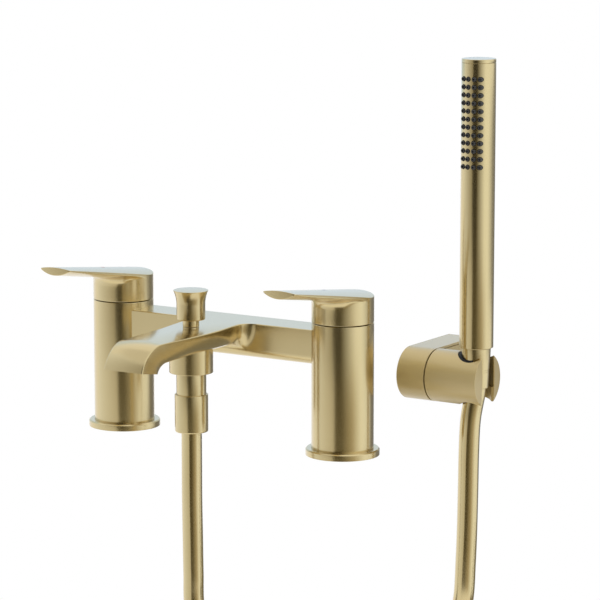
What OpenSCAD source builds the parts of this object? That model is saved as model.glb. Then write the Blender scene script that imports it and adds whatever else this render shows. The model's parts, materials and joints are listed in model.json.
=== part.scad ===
// Deck-mounted bath and shower mixer with a wall-held pencil handset.
// The origin is on the deck, midway between the two inlets. +X runs to the cold side,
// -Y points at the bather and +Z is up. Lengths are in millimetres.

/* [Pillars] */
// Distance between the hot and the cold inlet
inlet_centres = 180; // [160:1:220]
// Outer diameter of a pillar
pillar_d = 42; // [40:0.5:46]
// Height of a pillar above the deck
pillar_h = 90; // [87:0.5:100]
// Diameter of the base flange
flange_d = 50; // [48:0.5:60]
// Height of the base flange
flange_h = 4.6; // [3:0.2:8]
// Thickness of the gasket under the flange
gasket_h = 1.5; // [1:0.1:2]
// Bore of the female inlet
inlet_bore_d = 25; // [20:0.5:28]
// Depth of the female inlet
inlet_depth = 22; // [15:1:30]
// Bore of the waterway above the inlet
waterway_d = 14; // [10:0.5:15]

/* [Cartridges] */
// Depth of the cartridge chamber below the pillar's top
chamber_depth = 30; // [28:0.5:34]
// Bore of the cartridge chamber
chamber_d = 30; // [28:0.5:32]
// Thread diameter of the cartridge
neck_d = 24; // [23:0.5:26]
// Thread length of the cartridge
neck_h = 10; // [8:0.5:11]
// Diameter of the cartridge's body
cartridge_d = 20; // [19:0.5:22]
// Height of the seat washer
seat_washer_h = 2.5; // [2:0.1:3]
// Thickness of a ceramic disc
disc_h = 3; // [2.5:0.1:3.4]
// Diameter of the spindle
spindle_d = 8; // [6:0.5:9]
// Height of the hexagon above the pillar
hex_h = 6; // [4:0.5:6.5]

/* [Bridge] */
// Distance from a pillar's top down to the bridge's top
bridge_drop = 5; // [3:0.5:6]
// Height of the bridge
bridge_h = 24; // [22:0.5:25]
// Depth of the bridge, front to back
bridge_d = 26.6; // [24:0.2:30]
// Radius of the bridge's lower edges
bridge_round = 6.5; // [3:0.5:8]
// Bore of the channel in the bridge
bridge_channel_d = 11; // [8:0.5:12]
// Outer diameter of the spigots that enter the pillars
spigot_d = 15; // [14:0.5:16]

/* [Spout] */
// Reach of the spout from the bridge's centre line
spout_reach = 128; // [120:1:160]
// Width of the spout at its tip
spout_tip_w = 30.5; // [28:0.5:34]
// Width of the spout at its root
spout_root_w = 40; // [36:0.5:46]
// Distance from the bridge's centre line to where the taper starts
taper_start = 40; // [30:1:50]
// Distance from the bridge's centre line to where the taper ends
taper_end = 123; // [100:1:126]
// Thickness of the spout
spout_thick = 15; // [14:0.1:16]
// Drop of the spout's crowned top at its edges
spout_crown = 1.2; // [0.4:0.1:2]
// Radius of the fillet between the spout and the bridge
spout_fillet = 10; // [6:0.5:12]
// Width of the rounding along the spout's lower edges
spout_under_round = 9; // [5:0.5:11]
// Width of that rounding where the nose starts
nose_under_round = 3.5; // [2:0.5:6]
// Width of that rounding at the outlet
outlet_under_round = 1; // [0.5:0.5:2]
// Radius of the spout's top edges
spout_edge = 0.8; // [0.4:0.1:1.5]
// Radius of the nose's outer bend
nose_r = 24.3; // [20:0.1:26]
// Angle of the nose's outer bend
nose_angle = 73; // [68:1:76]
// Radius of the nose's inner bend
nose_inner_r = 16; // [14:0.5:18]
// Angle of the nose's inner bend
nose_inner_angle = 50; // [45:1:54]
// Depth of the outlet, front to back
outlet_depth = 20.2; // [18:0.1:21]
// Diameter of the flow straightener
straightener_d = 13; // [10:0.5:14]
// Depth of the flow straightener
straightener_h = 5; // [3:0.5:6]

/* [Diverter] */
// Distance of the diverter's axis from the bridge's centre line
diverter_y = 48; // [45:1:55]
// Diameter of the boss below the spout
boss_d = 29.6; // [26:0.2:34]
// Depth of the boss below the spout
boss_h = 15.4; // [14.5:0.1:18]
// Bore of the diverter chamber
valve_bore_d = 18; // [16:0.5:20]
// Bore of the valve seats
valve_seat_d = 12; // [10:0.5:13]
// Travel of the diverter knob
diverter_travel = 8; // [5:0.5:8]
// Diameter of the diverter stem
stem_d = 5; // [4:0.2:5.4]
// Diameter of the collar and of the knob's neck
collar_d = 11.2; // [9:0.2:12]
// Height of the collar above the bridge
collar_h = 0.6; // [0.4:0.1:1.5]
// Height of the knob's neck
neck_gap = 4.8; // [3:0.2:8]
// Diameter of the knob's waist
knob_waist_d = 19.4; // [16:0.2:22]
// Diameter of the knob's top
knob_top_d = 23.8; // [20:0.2:28]
// Height of the knob's head
knob_h = 19.9; // [16:0.1:26]
// Height of the knob's flare
knob_flare_h = 9.6; // [6:0.1:12]

/* [Shower outlet] */
// Diameter of the shower outlet tube
outlet_tube_d = 20.2; // [19:0.2:22]
// Height of the outlet tube's lower end above the deck
outlet_bottom = 26; // [24:0.5:28]
// Depth of the outlet's spigot in the boss
outlet_spigot_h = 3.4; // [2.5:0.1:4]
// Diameter of the hose nut at the mixer
nut_d = 22.6; // [22:0.2:26]
// Height of the nut's lower end above the deck
nut_bottom = 14; // [12:0.5:15]
// Height of the nut's upper end above the deck
nut_top = 39.8; // [36:0.2:44]
// Thickness of the nut's lower wall
nut_wall = 4; // [3:0.2:5]
// Thickness of a hose washer
hose_washer_h = 2.7; // [2:0.1:3]

/* [Levers] */
// Reach of a lever from its axis
lever_reach = 80; // [70:1:88]
// Width of a lever at its tip
lever_tip_w = 25; // [18:0.5:30]
// Gap between a pillar and its lever
lever_gap = 0.6; // [0.4:0.1:1]
// Height of the lever's side edge at its axis
lever_edge_h = 17.9; // [17.5:0.1:22]
// Rise of the lever's top towards its tip, in degrees
lever_rise = 7.4; // [5:0.2:9]
// Radius of the lever's crown
lever_crown_r = 64; // [55:1:80]
// Thickness of the lever at its tip
lever_tip_h = 5.6; // [4:0.1:6.5]
// Slope of the lever's underside, in degrees
lever_under_slope = 9; // [8.5:0.1:11]
// Radius of the lever's underside at its axis
lever_under_r = 85; // [70:1:110]
// Radius of the lever's underside at its tip
lever_tip_under_r = 21; // [20:0.5:26]
// Radius of the blend below the lever's blade
lever_blend = 6; // [3:0.5:7]
// Diameter of the hollow in the lever's cap
lever_hollow_d = 34; // [30:0.5:35]
// Depth of the hollow in the lever's cap
lever_hollow_h = 6.9; // [6.6:0.1:8]
// Depth of the spindle socket above the hollow
socket_h = 7; // [5:0.5:8]
// Diameter of the lever's grub screw
lever_grub_d = 4; // [3:0.5:4.5]
// Diameter of the index dot
index_d = 2.4; // [1.6:0.2:4]
// Distance of the index dot from the lever's axis
index_reach = 24; // [18:1:40]

/* [Bracket] */
// Distance from the mixer's centre to the bracket's near side
bracket_x = 109; // [105:1:180]
// Distance from the mixer's centre line back to the wall
wall_y = 109; // [105:1:140]
// Height of the bracket's pivot above the deck
bracket_z = 49.4; // [45:0.2:60]
// Distance from the wall to the bracket's pivot
bracket_reach = 53; // [46:1:60]
// Radius of the bracket's round front
bracket_r = 18; // [17:0.1:19]
// Width of the bracket's fixed arm
arm_w = 21.5; // [19:0.5:26]
// Wall of the bracket's cover
cover_wall = 2; // [1.5:0.1:2.5]
// Thickness of the wall plate
plate_t = 4; // [3:0.5:6]
// Distance between the wall screws
wall_screw_span = 21; // [20:0.5:22]
// Diameter of the wall screw holes
wall_screw_d = 5.2; // [4:0.1:5.4]
// Diameter of the wall plate's boss
plate_boss_d = 12; // [9:0.5:12.5]
// Length of the wall plate's boss
plate_boss_h = 15; // [12:0.5:18]
// Diameter of the bracket's grub screw
bracket_grub_d = 5; // [3:0.5:6]
// Diameter of the pivot bolt
pivot_d = 8; // [6:0.5:9]
// Diameter of the pivot bolt's head
pivot_head_d = 14; // [13:0.5:15]
// Gap between the fixed arm and the holder
holder_gap = 0.6; // [0.5:0.1:1.2]
// Length of the swivelling holder
holder_len = 39; // [38:0.2:46]
// Distance from the holder's near end to the handset's axis
holder_axis = 29.8; // [28:0.2:33]
// Bore of the holder around its liner
holder_bore_d = 24.4; // [23:0.2:26]
// Width of the holder's slot
holder_slot_w = 17; // [15:0.5:18]

/* [Handset] */
// Diameter of the handset's tube
handset_d = 23; // [22.5:0.5:28]
// Length of the handset's tube with its cap
handset_len = 194.2; // [180:0.2:240]
// Wall of the handset's tube
handset_wall = 1.5; // [1:0.1:2]
// Thickness of the end cap
cap_h = 2.4; // [1.6:0.1:5]
// Rows of nozzles
nozzle_rows = 12; // [4:1:12]
// Columns of nozzles
nozzle_columns = 4; // [2:1:4]
// Distance between rows of nozzles
nozzle_pitch = 5.31; // [4:0.01:6]
// Angle between columns of nozzles
nozzle_step = 21.5; // [18:0.5:24]
// Angle that the nozzles face, from -Y towards +X
nozzle_facing = 3; // [-20:1:20]
// Diameter of a nozzle
nozzle_d = 3.3; // [2.4:0.1:3.4]
// Height of a nozzle above the tube
nozzle_proud = 0.5; // [0.2:0.1:1]
// Distance from the handset's top to the first row
nozzle_margin = 13; // [11:0.2:20]
// Depth of the conical nut below the pivot's height
cone_drop = 5.5; // [3:0.5:6]
// Length of the conical nut
cone_h = 27.3; // [26:0.1:30]
// Diameter of the conical nut's upper end
cone_top_d = 19.8; // [19.4:0.2:21]
// Diameter of the conical nut's lower end
cone_low_d = 17.4; // [17.2:0.2:18.4]
// Diameter of the handset's threaded tail
tail_d = 14; // [13:0.1:14]

/* [Hose] */
// Diameter of the hose
hose_d = 14; // [12:0.5:14]
// Radius of the coil of spare hose
coil_r = 71; // [70:0.5:84]
// Turns of the coil of spare hose
coil_turns = 2.5; // [2.5:1:3.5]
// Distance between the turns of the coil
coil_pitch = 15; // [14.6:0.1:17]
// Width of a tie around the coil
tie_w = 8; // [5:0.5:12]
// Thickness of a tie around the coil
tie_t = 1.2; // [0.8:0.1:2]
// Room between a tie and the hose
tie_room = 0.9; // [0.8:0.1:1.5]

/* [Fits] */
// Clearance of pieces that are fixed in each other
fit = 0.05; // [0.02:0.01:0.08]
// Clearance of pieces that turn or slide in each other
run = 0.05; // [0.03:0.01:0.1]
// Gap between pieces that move past each other
gap = 0.3; // [0.25:0.05:0.4]

/* [Hidden] */
$fn = 96;
over = 1;

brass = "#b9a26a";
black = "#1d1d1e";
rubber = "#2b2a2a";
ceramic = "#e9e5da";
plastic = "#d8d8d2";
steel = "#b9bdc1";

inlet_x = inlet_centres / 2;
pillar_r = pillar_d / 2;
seat_z = pillar_h - chamber_depth;
neck_z = pillar_h - neck_h;
gasket_most_w = 2.5;
flange_lip = 1;
gasket_w = min(gasket_most_w, (flange_d - pillar_d) / 2 - flange_lip);

fixed_disc_z = seat_z + seat_washer_h;
moving_disc_z = fixed_disc_z + disc_h + run;
foot_z = moving_disc_z + disc_h;
foot_h = 3;
foot_step = 0.7;
foot_room = 2;
shoulder_z = foot_z + foot_h + foot_room;
window_lip = 0.5;
cartridge_wall = 1.25;
hex_step = 1;
seat_washer_step = 0.5;
disc_r = cartridge_d / 2 - cartridge_wall - fit;
port_r = disc_r * 0.28;
port_reach = disc_r * 0.53;
port_room = 0.2;
washer_hole_r = port_reach + port_r + port_room;
lever_z = pillar_h + lever_gap;
socket_z = lever_z + lever_hollow_h;

bridge_top = pillar_h - bridge_drop;
bridge_mid = bridge_top - bridge_h / 2;
bridge_front = bridge_d / 2;
spout_under = bridge_top - spout_thick;
spout_root_in = 4;
crown_back = 8;
crown_start = bridge_front - crown_back;
crown_run = 45;
boss_bottom = spout_under - boss_h;
nose_start = spout_reach - nose_r * sin(nose_angle);
inner_end = spout_reach - outlet_depth;
inner_start = inner_end - nose_inner_r * sin(nose_inner_angle);
lean_start = diverter_y + boss_d / 2;
nose_tip = [spout_reach, bridge_top - nose_r * (1 - cos(nose_angle))];
nose_heel = [inner_end, spout_under - nose_inner_r * (1 - cos(nose_inner_angle))];
outlet_tilt = atan2(nose_tip[1] - nose_heel[1], nose_tip[0] - nose_heel[0]);
outlet_share = 0.44;
outlet_mid = nose_heel + (nose_tip - nose_heel) * outlet_share;
outlet_rise = 12.6;
outlet_feed_r = 4;
straightener_recess = 0.5;

feed_wall = 1.5;
feed_floor = spout_under + feed_wall;
feed_h = 2.4;
feed_w = 22;
upper_seat_z = feed_floor + feed_h;
gallery_z = upper_seat_z + feed_wall;
gallery_h = 3.5;
spout_channel_w = 18;
spout_channel_past = 8;
spout_channel_end = nose_start + spout_channel_past;

seat_top = boss_bottom + outlet_spigot_h;
seal_h = 1;
seal_step = 1;
seal_r = valve_bore_d / 2 - seal_step;
piston_step = 0.8;
piston_r = valve_bore_d / 2 - piston_step;
piston_hub_wall = 1.5;
piston_z = seat_top + gap + seal_h;
piston_top = upper_seat_z - gap - diverter_travel - seal_h;
piston_flange_h = 2;
bonnet_dip = 1;
bonnet_z = gallery_z + gallery_h - bonnet_dip;
collar_top = bridge_top + collar_h;
knob_neck_z = collar_top + gap;
knob_z = knob_neck_z + neck_gap;
stem_top = knob_z + knob_h / 2;
spring_inset = 0.3;
spring_r = (stem_d / 2 + valve_seat_d / 2) / 2 - spring_inset;
spring_wire_r = 0.4;
spring_coils = 4;
knob_flare = (knob_top_d - knob_waist_d) / 2;
knob_flare_r = (knob_flare_h * knob_flare_h + knob_flare * knob_flare) / (2 * knob_flare);

outlet_bore_r = valve_seat_d / 2;
ferrule_top = outlet_bottom - hose_washer_h;
ferrule_z = nut_bottom + nut_wall;
ferrule_step = 0.6;
ferrule_r = outlet_tube_d / 2 - ferrule_step;
ferrule_lip = 1;
check_valve_lift = 4;
check_valve_h = 12;
hose_r = hose_d / 2;

crown_sag = lever_crown_r - sqrt(lever_crown_r * lever_crown_r - pillar_r * pillar_r);
crest_z = lever_z + lever_edge_h + crown_sag;
under_tip_z = crest_z + lever_reach * tan(lever_rise) - lever_tip_h;
under_axis_z = under_tip_z - lever_reach * tan(lever_under_slope);
blade_root_z = under_axis_z + pillar_r * tan(lever_under_slope);
grub_z = socket_z + socket_h / 2;
lever_grub_len = 8;
key_depth = 2;
blend_rise = 1.5;
blend_root = 2;
index_h = 1.1;
index_pocket_h = 1.2;
index_proud = 0.05;

pivot_y = wall_y - bracket_reach;
arm_end = bracket_x + arm_w;
holder_x = arm_end + holder_gap;
holder_end = holder_x + holder_len;
handset_x = holder_x + holder_axis;
arm_r = bracket_r - cover_wall - fit;
arm_x = bracket_x + cover_wall + fit;
arm_back = bracket_reach - plate_t - fit;
plate_mid_x = (arm_x + arm_end) / 2;
boss_tip_y = wall_y - plate_t - plate_boss_h;
bracket_grub_y = wall_y - plate_t - plate_boss_h / 2;
screw_head_lip = 1.6;
screw_pocket_r = wall_screw_d / 2 + screw_head_lip;
screw_pocket_h = 6;
head_room = 1.2;
head_x = arm_x + head_room;
head_h = 4;
spring_washer_h = 1.6;
spring_washer_step = 0.4;
spring_washer_play = 0.1;
shoulder_x = head_x + head_h + spring_washer_h + spring_washer_play;
pivot_depth = 12;
friction_step = 2.5;
friction_r = bracket_r - friction_step;
plate_margin = 1;
bracket_grub_recess = 0.5;

cone_z = bracket_z - cone_drop;
handset_z = cone_z + cone_h + gap;
handset_top = handset_z + handset_len;
cap_line = 0.2;
tube_top = handset_top - cap_h - cap_line;
tube_bore_r = handset_d / 2 - handset_wall;
ledge_drop = 0.5;
ledge_z = cone_z - ledge_drop;
ledge_w = 1;
liner_step = 0.6;
liner_mouth = 3;
cone_taper = (cone_top_d - cone_low_d) / 2 / cone_h;
hose_in_nut = 8;
handset_hose_top = cone_z + hose_in_nut;
hose_wall = 2.5;
handset_ferrule_h = 2.6;
tail_washer_z = handset_hose_top + handset_ferrule_h + gap;
tail_washer_h = 2.3;
tail_washer_step = 0.2;
tail_z = tail_washer_z + tail_washer_h;
tail_plug_h = 9;
restrictor_r = 5;
restrictor_h = 3;
restrictor_hole_r = 1.5;
restrictor_lip = 1;
first_row_z = handset_top - nozzle_margin;
last_row_z = first_row_z - (nozzle_rows - 1) * nozzle_pitch;
mat_t = 1.25;
mat_margin = 5;
mat_spare_angle = 6;
mat_half_angle = nozzle_step * nozzle_columns / 2 + mat_spare_angle;
waterway_r = tube_bore_r - mat_t - 2 * fit;
waterway_wall = 1.3;
waterway_end = 6;
window_spare_angle = 12;
window_margin = 2;

// The hose hangs in the upright plane through the outlet's axis and the handset's axis.
// Its points are [along that plane, across it, up].
hose_angle = atan2(pivot_y + diverter_y, handset_x);
hose_far = norm([handset_x, pivot_y + diverter_y]);
hose_straight = 2;
coil_mid = 96;
coil_z = -200;
coil_side = coil_pitch * coil_turns / 2;
coil_tail = hose_d;
mixer_route = [
    [0, 0, 18], [0, 0, -6], [0, 0, -32], [0.3, 0, -58], [0.6, 0, -84],
    [1.4, -0.4, -110], [8.5, -6, -136], [20.5, -15.5, -162], [25, -18.75, -186]
];
handset_route = [
    [hose_far, 0, handset_hose_top], [hose_far, 0, cone_z - hose_straight],
    [188.3, 0, 22], [187.3, 0, 0], [187, 0, -26],
    [186.6, 0, -52], [185.8, 0, -78], [184.4, 1, -104], [179, 6, -130],
    [170, 16, -158], [167, 18.75, -186]
];

// Basic turned shapes

module rod(r, z0, z1) {
    translate([0, 0, z0])
    cylinder(r = r, h = z1 - z0);
}

module ring(outer, inner, z0, z1) {
    difference() {
        rod(outer, z0, z1);
        rod(inner, z0 - over, z1 + over);
    }
}

// A round bar along X, centred on the bracket's pivot
module pivot_rod(r, x0, x1) {
    translate([x0, pivot_y, bracket_z])
    rotate([0, 90, 0])
    cylinder(r = r, h = x1 - x0);
}

// Moves a turned shape to the left or right inlet
module at_inlet(side) {
    translate([side * inlet_x, 0, 0])
    children();
}

module at_diverter() {
    translate([0, -diverter_y, 0])
    children();
}

module at_handset() {
    translate([handset_x, pivot_y, 0])
    children();
}

// Lofts and swept tubes: each ring is a list of points, and the rings are joined in order

function loft_faces(rings, sides) = concat(
    [[for (j = [sides - 1:-1:0]) j]],
    [for (i = [0:rings - 2], j = [0:sides - 1])
        [i * sides + j, i * sides + (j + 1) % sides, (i + 1) * sides + (j + 1) % sides]],
    [for (i = [0:rings - 2], j = [0:sides - 1])
        [i * sides + j, (i + 1) * sides + (j + 1) % sides, (i + 1) * sides + j]],
    [[for (j = [0:sides - 1]) (rings - 1) * sides + j]]
);

function unit(v) = v / norm(v);

// Direction of a route at point i, upright at both of its ends
function heading(route, i) =
    i == 0 || i == len(route) - 1
        ? [0, 0, sign(route[min(i + 1, len(route) - 1)][2] - route[max(i - 1, 0)][2])]
        : unit(route[i + 1] - route[i - 1]);

function tube_ring(centre, along, r, sides) =
    let (u = unit(cross(along, [0, 1, 0])), v = cross(along, u))
    [for (k = [0:sides - 1]) centre + r * (cos(360 * k / sides) * u + sin(360 * k / sides) * v)];

module swept_tube(route, r, sides) {
    polyhedron(
        points = [for (i = [0:len(route) - 1]) each tube_ring(route[i], heading(route, i), r, sides)],
        faces = loft_faces(len(route), sides),
        convexity = 8
    );
}

// Pillars

module pillar(side) {
    color(brass)
    at_inlet(side)
    difference() {
        rod(pillar_r, 0, pillar_h);
        rod(inlet_bore_d / 2, -over, inlet_depth);
        rod(waterway_d / 2, inlet_depth - over, seat_z + over);
        rod(chamber_d / 2, seat_z, neck_z);
        rod(neck_d / 2, neck_z - over, pillar_h + over);
        translate([0, 0, bridge_mid])
        rotate([0, -90 * side, 0])
        rod(spigot_d / 2 + fit, 0, pillar_r + over);
    }
}

module flange(side) {
    chamfer = 0.8;
    color(brass)
    at_inlet(side)
    difference() {
        union() {
            rod(flange_d / 2, 0, flange_h - chamfer);
            translate([0, 0, flange_h - chamfer])
            cylinder(r1 = flange_d / 2, r2 = flange_d / 2 - chamfer, h = chamfer);
        }
        rod(pillar_r + fit, -over, flange_h + over);
        rod(pillar_r + fit + gasket_w, -over, gasket_h);
    }
}

module gasket(side) {
    color(rubber)
    at_inlet(side)
    ring(pillar_r + gasket_w, pillar_r + fit, 0, gasket_h);
}

// Quarter-turn ceramic cartridges

module cartridge(side) {
    window_w = cartridge_d / 2.6;
    color(brass)
    at_inlet(side)
    difference() {
        union() {
            rod(cartridge_d / 2, fixed_disc_z, neck_z + over);
            rod(neck_d / 2 - fit, neck_z, pillar_h);
            translate([0, 0, pillar_h])
            cylinder(r = neck_d / 2 - hex_step, h = hex_h, $fn = 6);
        }
        rod(disc_r + fit, fixed_disc_z - over, shoulder_z);
        rod(spindle_d / 2 + run, shoulder_z - over, pillar_h + hex_h + over);
        translate([-cartridge_d, -window_w / 2, moving_disc_z + disc_h])
        cube([2 * cartridge_d, window_w, shoulder_z - foot_z - window_lip]);
    }
}

module seat_washer(side) {
    color(rubber)
    at_inlet(side)
    ring(cartridge_d / 2 - seat_washer_step, washer_hole_r, seat_z, fixed_disc_z);
}

module ported_disc(z0, turn) {
    rotate([0, 0, turn])
    difference() {
        rod(disc_r, z0, z0 + disc_h);
        for (reach = [-port_reach, port_reach])
            translate([reach, 0, 0])
            rod(port_r, z0 - over, z0 + disc_h + over);
    }
}

module fixed_disc(side) {
    color(ceramic)
    at_inlet(side)
    ported_disc(fixed_disc_z, 0);
}

module moving_disc(side) {
    color(ceramic)
    at_inlet(side)
    ported_disc(moving_disc_z, 90);
}

module spindle(side) {
    color(brass)
    at_inlet(side)
    union() {
        rod(disc_r - foot_step, foot_z, foot_z + foot_h);
        rod(spindle_d / 2, foot_z + foot_h, socket_z + socket_h - gap);
    }
}

// Bridge with the spout

module bridge_section() {
    flat_w = bridge_d - 2 * bridge_round;
    union() {
        translate([-bridge_d / 2, bridge_top - bridge_h + bridge_round])
        square([bridge_d, bridge_h - bridge_round]);
        translate([-flat_w / 2, bridge_top - bridge_h])
        square([flat_w, bridge_round + over]);
        for (y = [-flat_w / 2, flat_w / 2])
            translate([y, bridge_top - bridge_h + bridge_round])
            circle(r = bridge_round);
    }
}

module bridge_bar() {
    difference() {
        rotate([90, 0, 90])
        translate([0, 0, -inlet_x])
        linear_extrude(2 * inlet_x)
        bridge_section();
        for (side = [-1, 1])
            at_inlet(side)
            rod(pillar_r + fit, 0, pillar_h + over);
    }
}

// Half the spout's width at a distance in front of the bridge's centre line
function spout_half_w(f) =
    let (share = min(1, max(0, (f - taper_start) / (taper_end - taper_start))))
    let (into = max(0, bridge_front + spout_fillet - f))
    (spout_root_w + (spout_tip_w - spout_root_w) * share) / 2
    + spout_fillet - sqrt(max(0, spout_fillet * spout_fillet - into * into));

// One cross-section between a top point and an under point, each [forward, up]
function spout_ring(top, under, half_w, crown, under_round) =
    let (h = norm(under - top), down = (under - top) / h)
    let (low = crown + spout_edge)
    let (shoulder = [half_w / 2, crown / 4])
    let (edge = [for (a = [0:45:90]) [half_w - spout_edge * (1 - sin(a)), low - spout_edge * cos(a)]])
    let (belly = [for (a = [15:15:90]) [half_w - under_round * (1 - cos(a)), low + (h - low) * sin(a)]])
    let (right = concat([shoulder], edge, belly))
    let (outline = concat(right, [for (i = [len(right) - 1:-1:0]) [-right[i][0], right[i][1]]]))
    [for (p = outline) [p[0], -(top[0] + down[0] * p[1]), top[1] + down[1] * p[1]]];

// Rings from inside the bridge, through the fillet and along the flat, to the nose
function spout_flat_ring(f) =
    let (share = max(0, f - lean_start) / (nose_start - lean_start))
    let (crown = spout_crown * min(1, max(0, (f - crown_start) / crown_run)))
    spout_ring(
        [f, bridge_top],
        [f - share * (nose_start - inner_start), spout_under],
        spout_half_w(f),
        crown,
        spout_under_round + share * (nose_under_round - spout_under_round)
    );

function spout_nose_ring(share) =
    let (a = nose_angle * share, b = nose_inner_angle * share)
    let (f = nose_start + nose_r * sin(a))
    spout_ring(
        [f, bridge_top - nose_r * (1 - cos(a))],
        [inner_start + nose_inner_r * sin(b), spout_under - nose_inner_r * (1 - cos(b))],
        spout_half_w(f),
        spout_crown,
        nose_under_round + share * (outlet_under_round - nose_under_round)
    );

module spout_shell() {
    flat_from = bridge_front + spout_fillet;
    flat_steps = 9;
    nose_steps = 9;
    inside = let (r = spout_flat_ring(bridge_front)) [for (p = r) p + [0, spout_root_in, 0]];
    rings = concat(
        [inside],
        [for (a = [90:-15:15]) spout_flat_ring(flat_from - spout_fillet * sin(a))],
        [for (i = [0:flat_steps]) spout_flat_ring(flat_from + (nose_start - flat_from) * i / flat_steps)],
        [for (i = [1:nose_steps]) spout_nose_ring(i / nose_steps)]
    );
    polyhedron(
        points = [for (r = rings) each r],
        faces = loft_faces(len(rings), len(rings[0])),
        convexity = 6
    );
}

// Places a shape on the outlet's plane, with +Z going up into the spout
module at_outlet() {
    translate([0, -outlet_mid[0], outlet_mid[1]])
    rotate([-outlet_tilt, 0, 0])
    children();
}

module bridge_spout() {
    spigot_from = inlet_x - chamber_d / 2;
    color(brass)
    difference() {
        union() {
            bridge_bar();
            spout_shell();
            at_diverter()
            rod(boss_d / 2, boss_bottom, gallery_z);
            for (side = [-1, 1])
                translate([0, 0, bridge_mid])
                rotate([0, 90 * side, 0])
                rod(spigot_d / 2, inlet_x - pillar_r - bridge_front, spigot_from);
        }
        translate([0, 0, bridge_mid])
        rotate([0, 90, 0])
        rod(bridge_channel_d / 2, -inlet_x, inlet_x);
        translate([-feed_w / 2, -diverter_y, feed_floor])
        cube([feed_w, diverter_y, feed_h]);
        at_diverter()
        union() {
            rod(valve_bore_d / 2, boss_bottom - over, upper_seat_z);
            rod(valve_seat_d / 2, upper_seat_z - over, gallery_z + over);
            rod(valve_bore_d / 2, gallery_z, gallery_z + gallery_h);
            rod(collar_d / 2 + fit, gallery_z + gallery_h - over, bridge_top + over);
        }
        translate([-spout_channel_w / 2, -spout_channel_end, gallery_z])
        cube([spout_channel_w, spout_channel_end - diverter_y, gallery_h]);
        at_outlet()
        union() {
            rod(straightener_d / 2 + fit, -over, straightener_h + straightener_recess);
            rod(outlet_feed_r, straightener_h, outlet_rise);
        }
    }
}

module flow_straightener() {
    hole_r = straightener_d / 11;
    hole_reach = straightener_d / 3.4;
    color(black)
    at_outlet()
    difference() {
        rod(straightener_d / 2, straightener_recess, straightener_h + straightener_recess);
        rod(hole_r, 0, straightener_h + over);
        for (turn = [0:60:300])
            rotate([0, 0, turn])
            translate([hole_reach, 0, 0])
            rod(hole_r, 0, straightener_h + over);
    }
}

// Diverter

module diverter_bonnet() {
    color(brass)
    at_diverter()
    ring(collar_d / 2, stem_d / 2 + run, bonnet_z, collar_top);
}

module diverter_stem() {
    color(steel)
    at_diverter()
    rod(stem_d / 2, piston_z, stem_top);
}

module diverter_piston() {
    hub_r = stem_d / 2 + piston_hub_wall;
    color(brass)
    at_diverter()
    difference() {
        union() {
            rod(piston_r, piston_z, piston_z + piston_flange_h);
            rod(hub_r, piston_z + piston_flange_h, piston_top - piston_flange_h);
            rod(piston_r, piston_top - piston_flange_h, piston_top);
        }
        rod(stem_d / 2 + fit, piston_z - over, piston_top + over);
    }
}

module diverter_seals() {
    color(rubber)
    at_diverter()
    union() {
        rod(seal_r, piston_z - seal_h, piston_z);
        ring(seal_r, stem_d / 2 + fit, piston_top, piston_top + seal_h);
    }
}

module diverter_spring() {
    steps = 12;
    sides = 6;
    bottom = piston_top + seal_h + spring_wire_r + fit;
    top = bonnet_z - spring_wire_r - fit;
    count = spring_coils * steps;
    route = [for (i = [0:count])
        let (a = 360 * i / steps)
        [spring_r * cos(a), spring_r * sin(a), bottom + (top - bottom) * i / count]];
    rings = [for (i = [0:count])
        let (along = unit(route[min(i + 1, count)] - route[max(i - 1, 0)]))
        let (u = unit(cross(along, [0, 0, 1])), v = cross(along, u))
        [for (k = [0:sides - 1])
            route[i] + spring_wire_r * (cos(360 * k / sides) * u + sin(360 * k / sides) * v)]];
    color(steel)
    at_diverter()
    polyhedron(
        points = [for (r = rings) each r],
        faces = loft_faces(count + 1, sides),
        convexity = 10
    );
}

module diverter_knob() {
    color(brass)
    at_diverter()
    difference() {
        union() {
            rod(collar_d / 2, knob_neck_z, knob_z);
            translate([0, 0, knob_z])
            rotate_extrude()
            difference() {
                square([knob_top_d / 2, knob_h]);
                translate([knob_waist_d / 2, -over])
                square([knob_top_d, knob_h - knob_flare_h + over]);
                translate([knob_waist_d / 2 + knob_flare_r, knob_h - knob_flare_h])
                circle(r = knob_flare_r);
            }
        }
        rod(stem_d / 2 + fit, knob_neck_z - over, stem_top + fit);
    }
}

// Shower outlet and the hose's end at the mixer

module shower_outlet() {
    color(brass)
    at_diverter()
    difference() {
        union() {
            rod(valve_bore_d / 2 - fit, boss_bottom, seat_top);
            rod(outlet_tube_d / 2, outlet_bottom, boss_bottom);
        }
        rod(outlet_bore_r, outlet_bottom - over, seat_top + over);
    }
}

module check_valve() {
    color(plastic)
    at_diverter()
    translate([0, 0, outlet_bottom + check_valve_lift])
    ring(outlet_bore_r - fit, outlet_bore_r / 2, 0, check_valve_h);
}

module mixer_hose_washer() {
    color(rubber)
    at_diverter()
    ring(ferrule_r, outlet_bore_r, ferrule_top, outlet_bottom);
}

module mixer_hose_ferrule() {
    color(brass)
    at_diverter()
    ring(ferrule_r, outlet_bore_r - ferrule_lip, ferrule_z, ferrule_top);
}

module mixer_hose_nut() {
    round_r = 1;
    color(brass)
    at_diverter()
    difference() {
        union() {
            translate([0, 0, nut_bottom])
            rotate_extrude()
            union() {
                square([nut_d / 2 - round_r, round_r]);
                translate([nut_d / 2 - round_r, round_r])
                intersection() {
                    circle(r = round_r);
                    translate([0, -round_r])
                    square(round_r);
                }
            }
            rod(nut_d / 2, nut_bottom + round_r, nut_top);
        }
        rod(hose_r + fit, nut_bottom - over, ferrule_z + over);
        rod(ferrule_r + fit, ferrule_z, outlet_bottom);
        rod(outlet_tube_d / 2 + fit, outlet_bottom - fit, nut_top + over);
    }
}

// Levers

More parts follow.
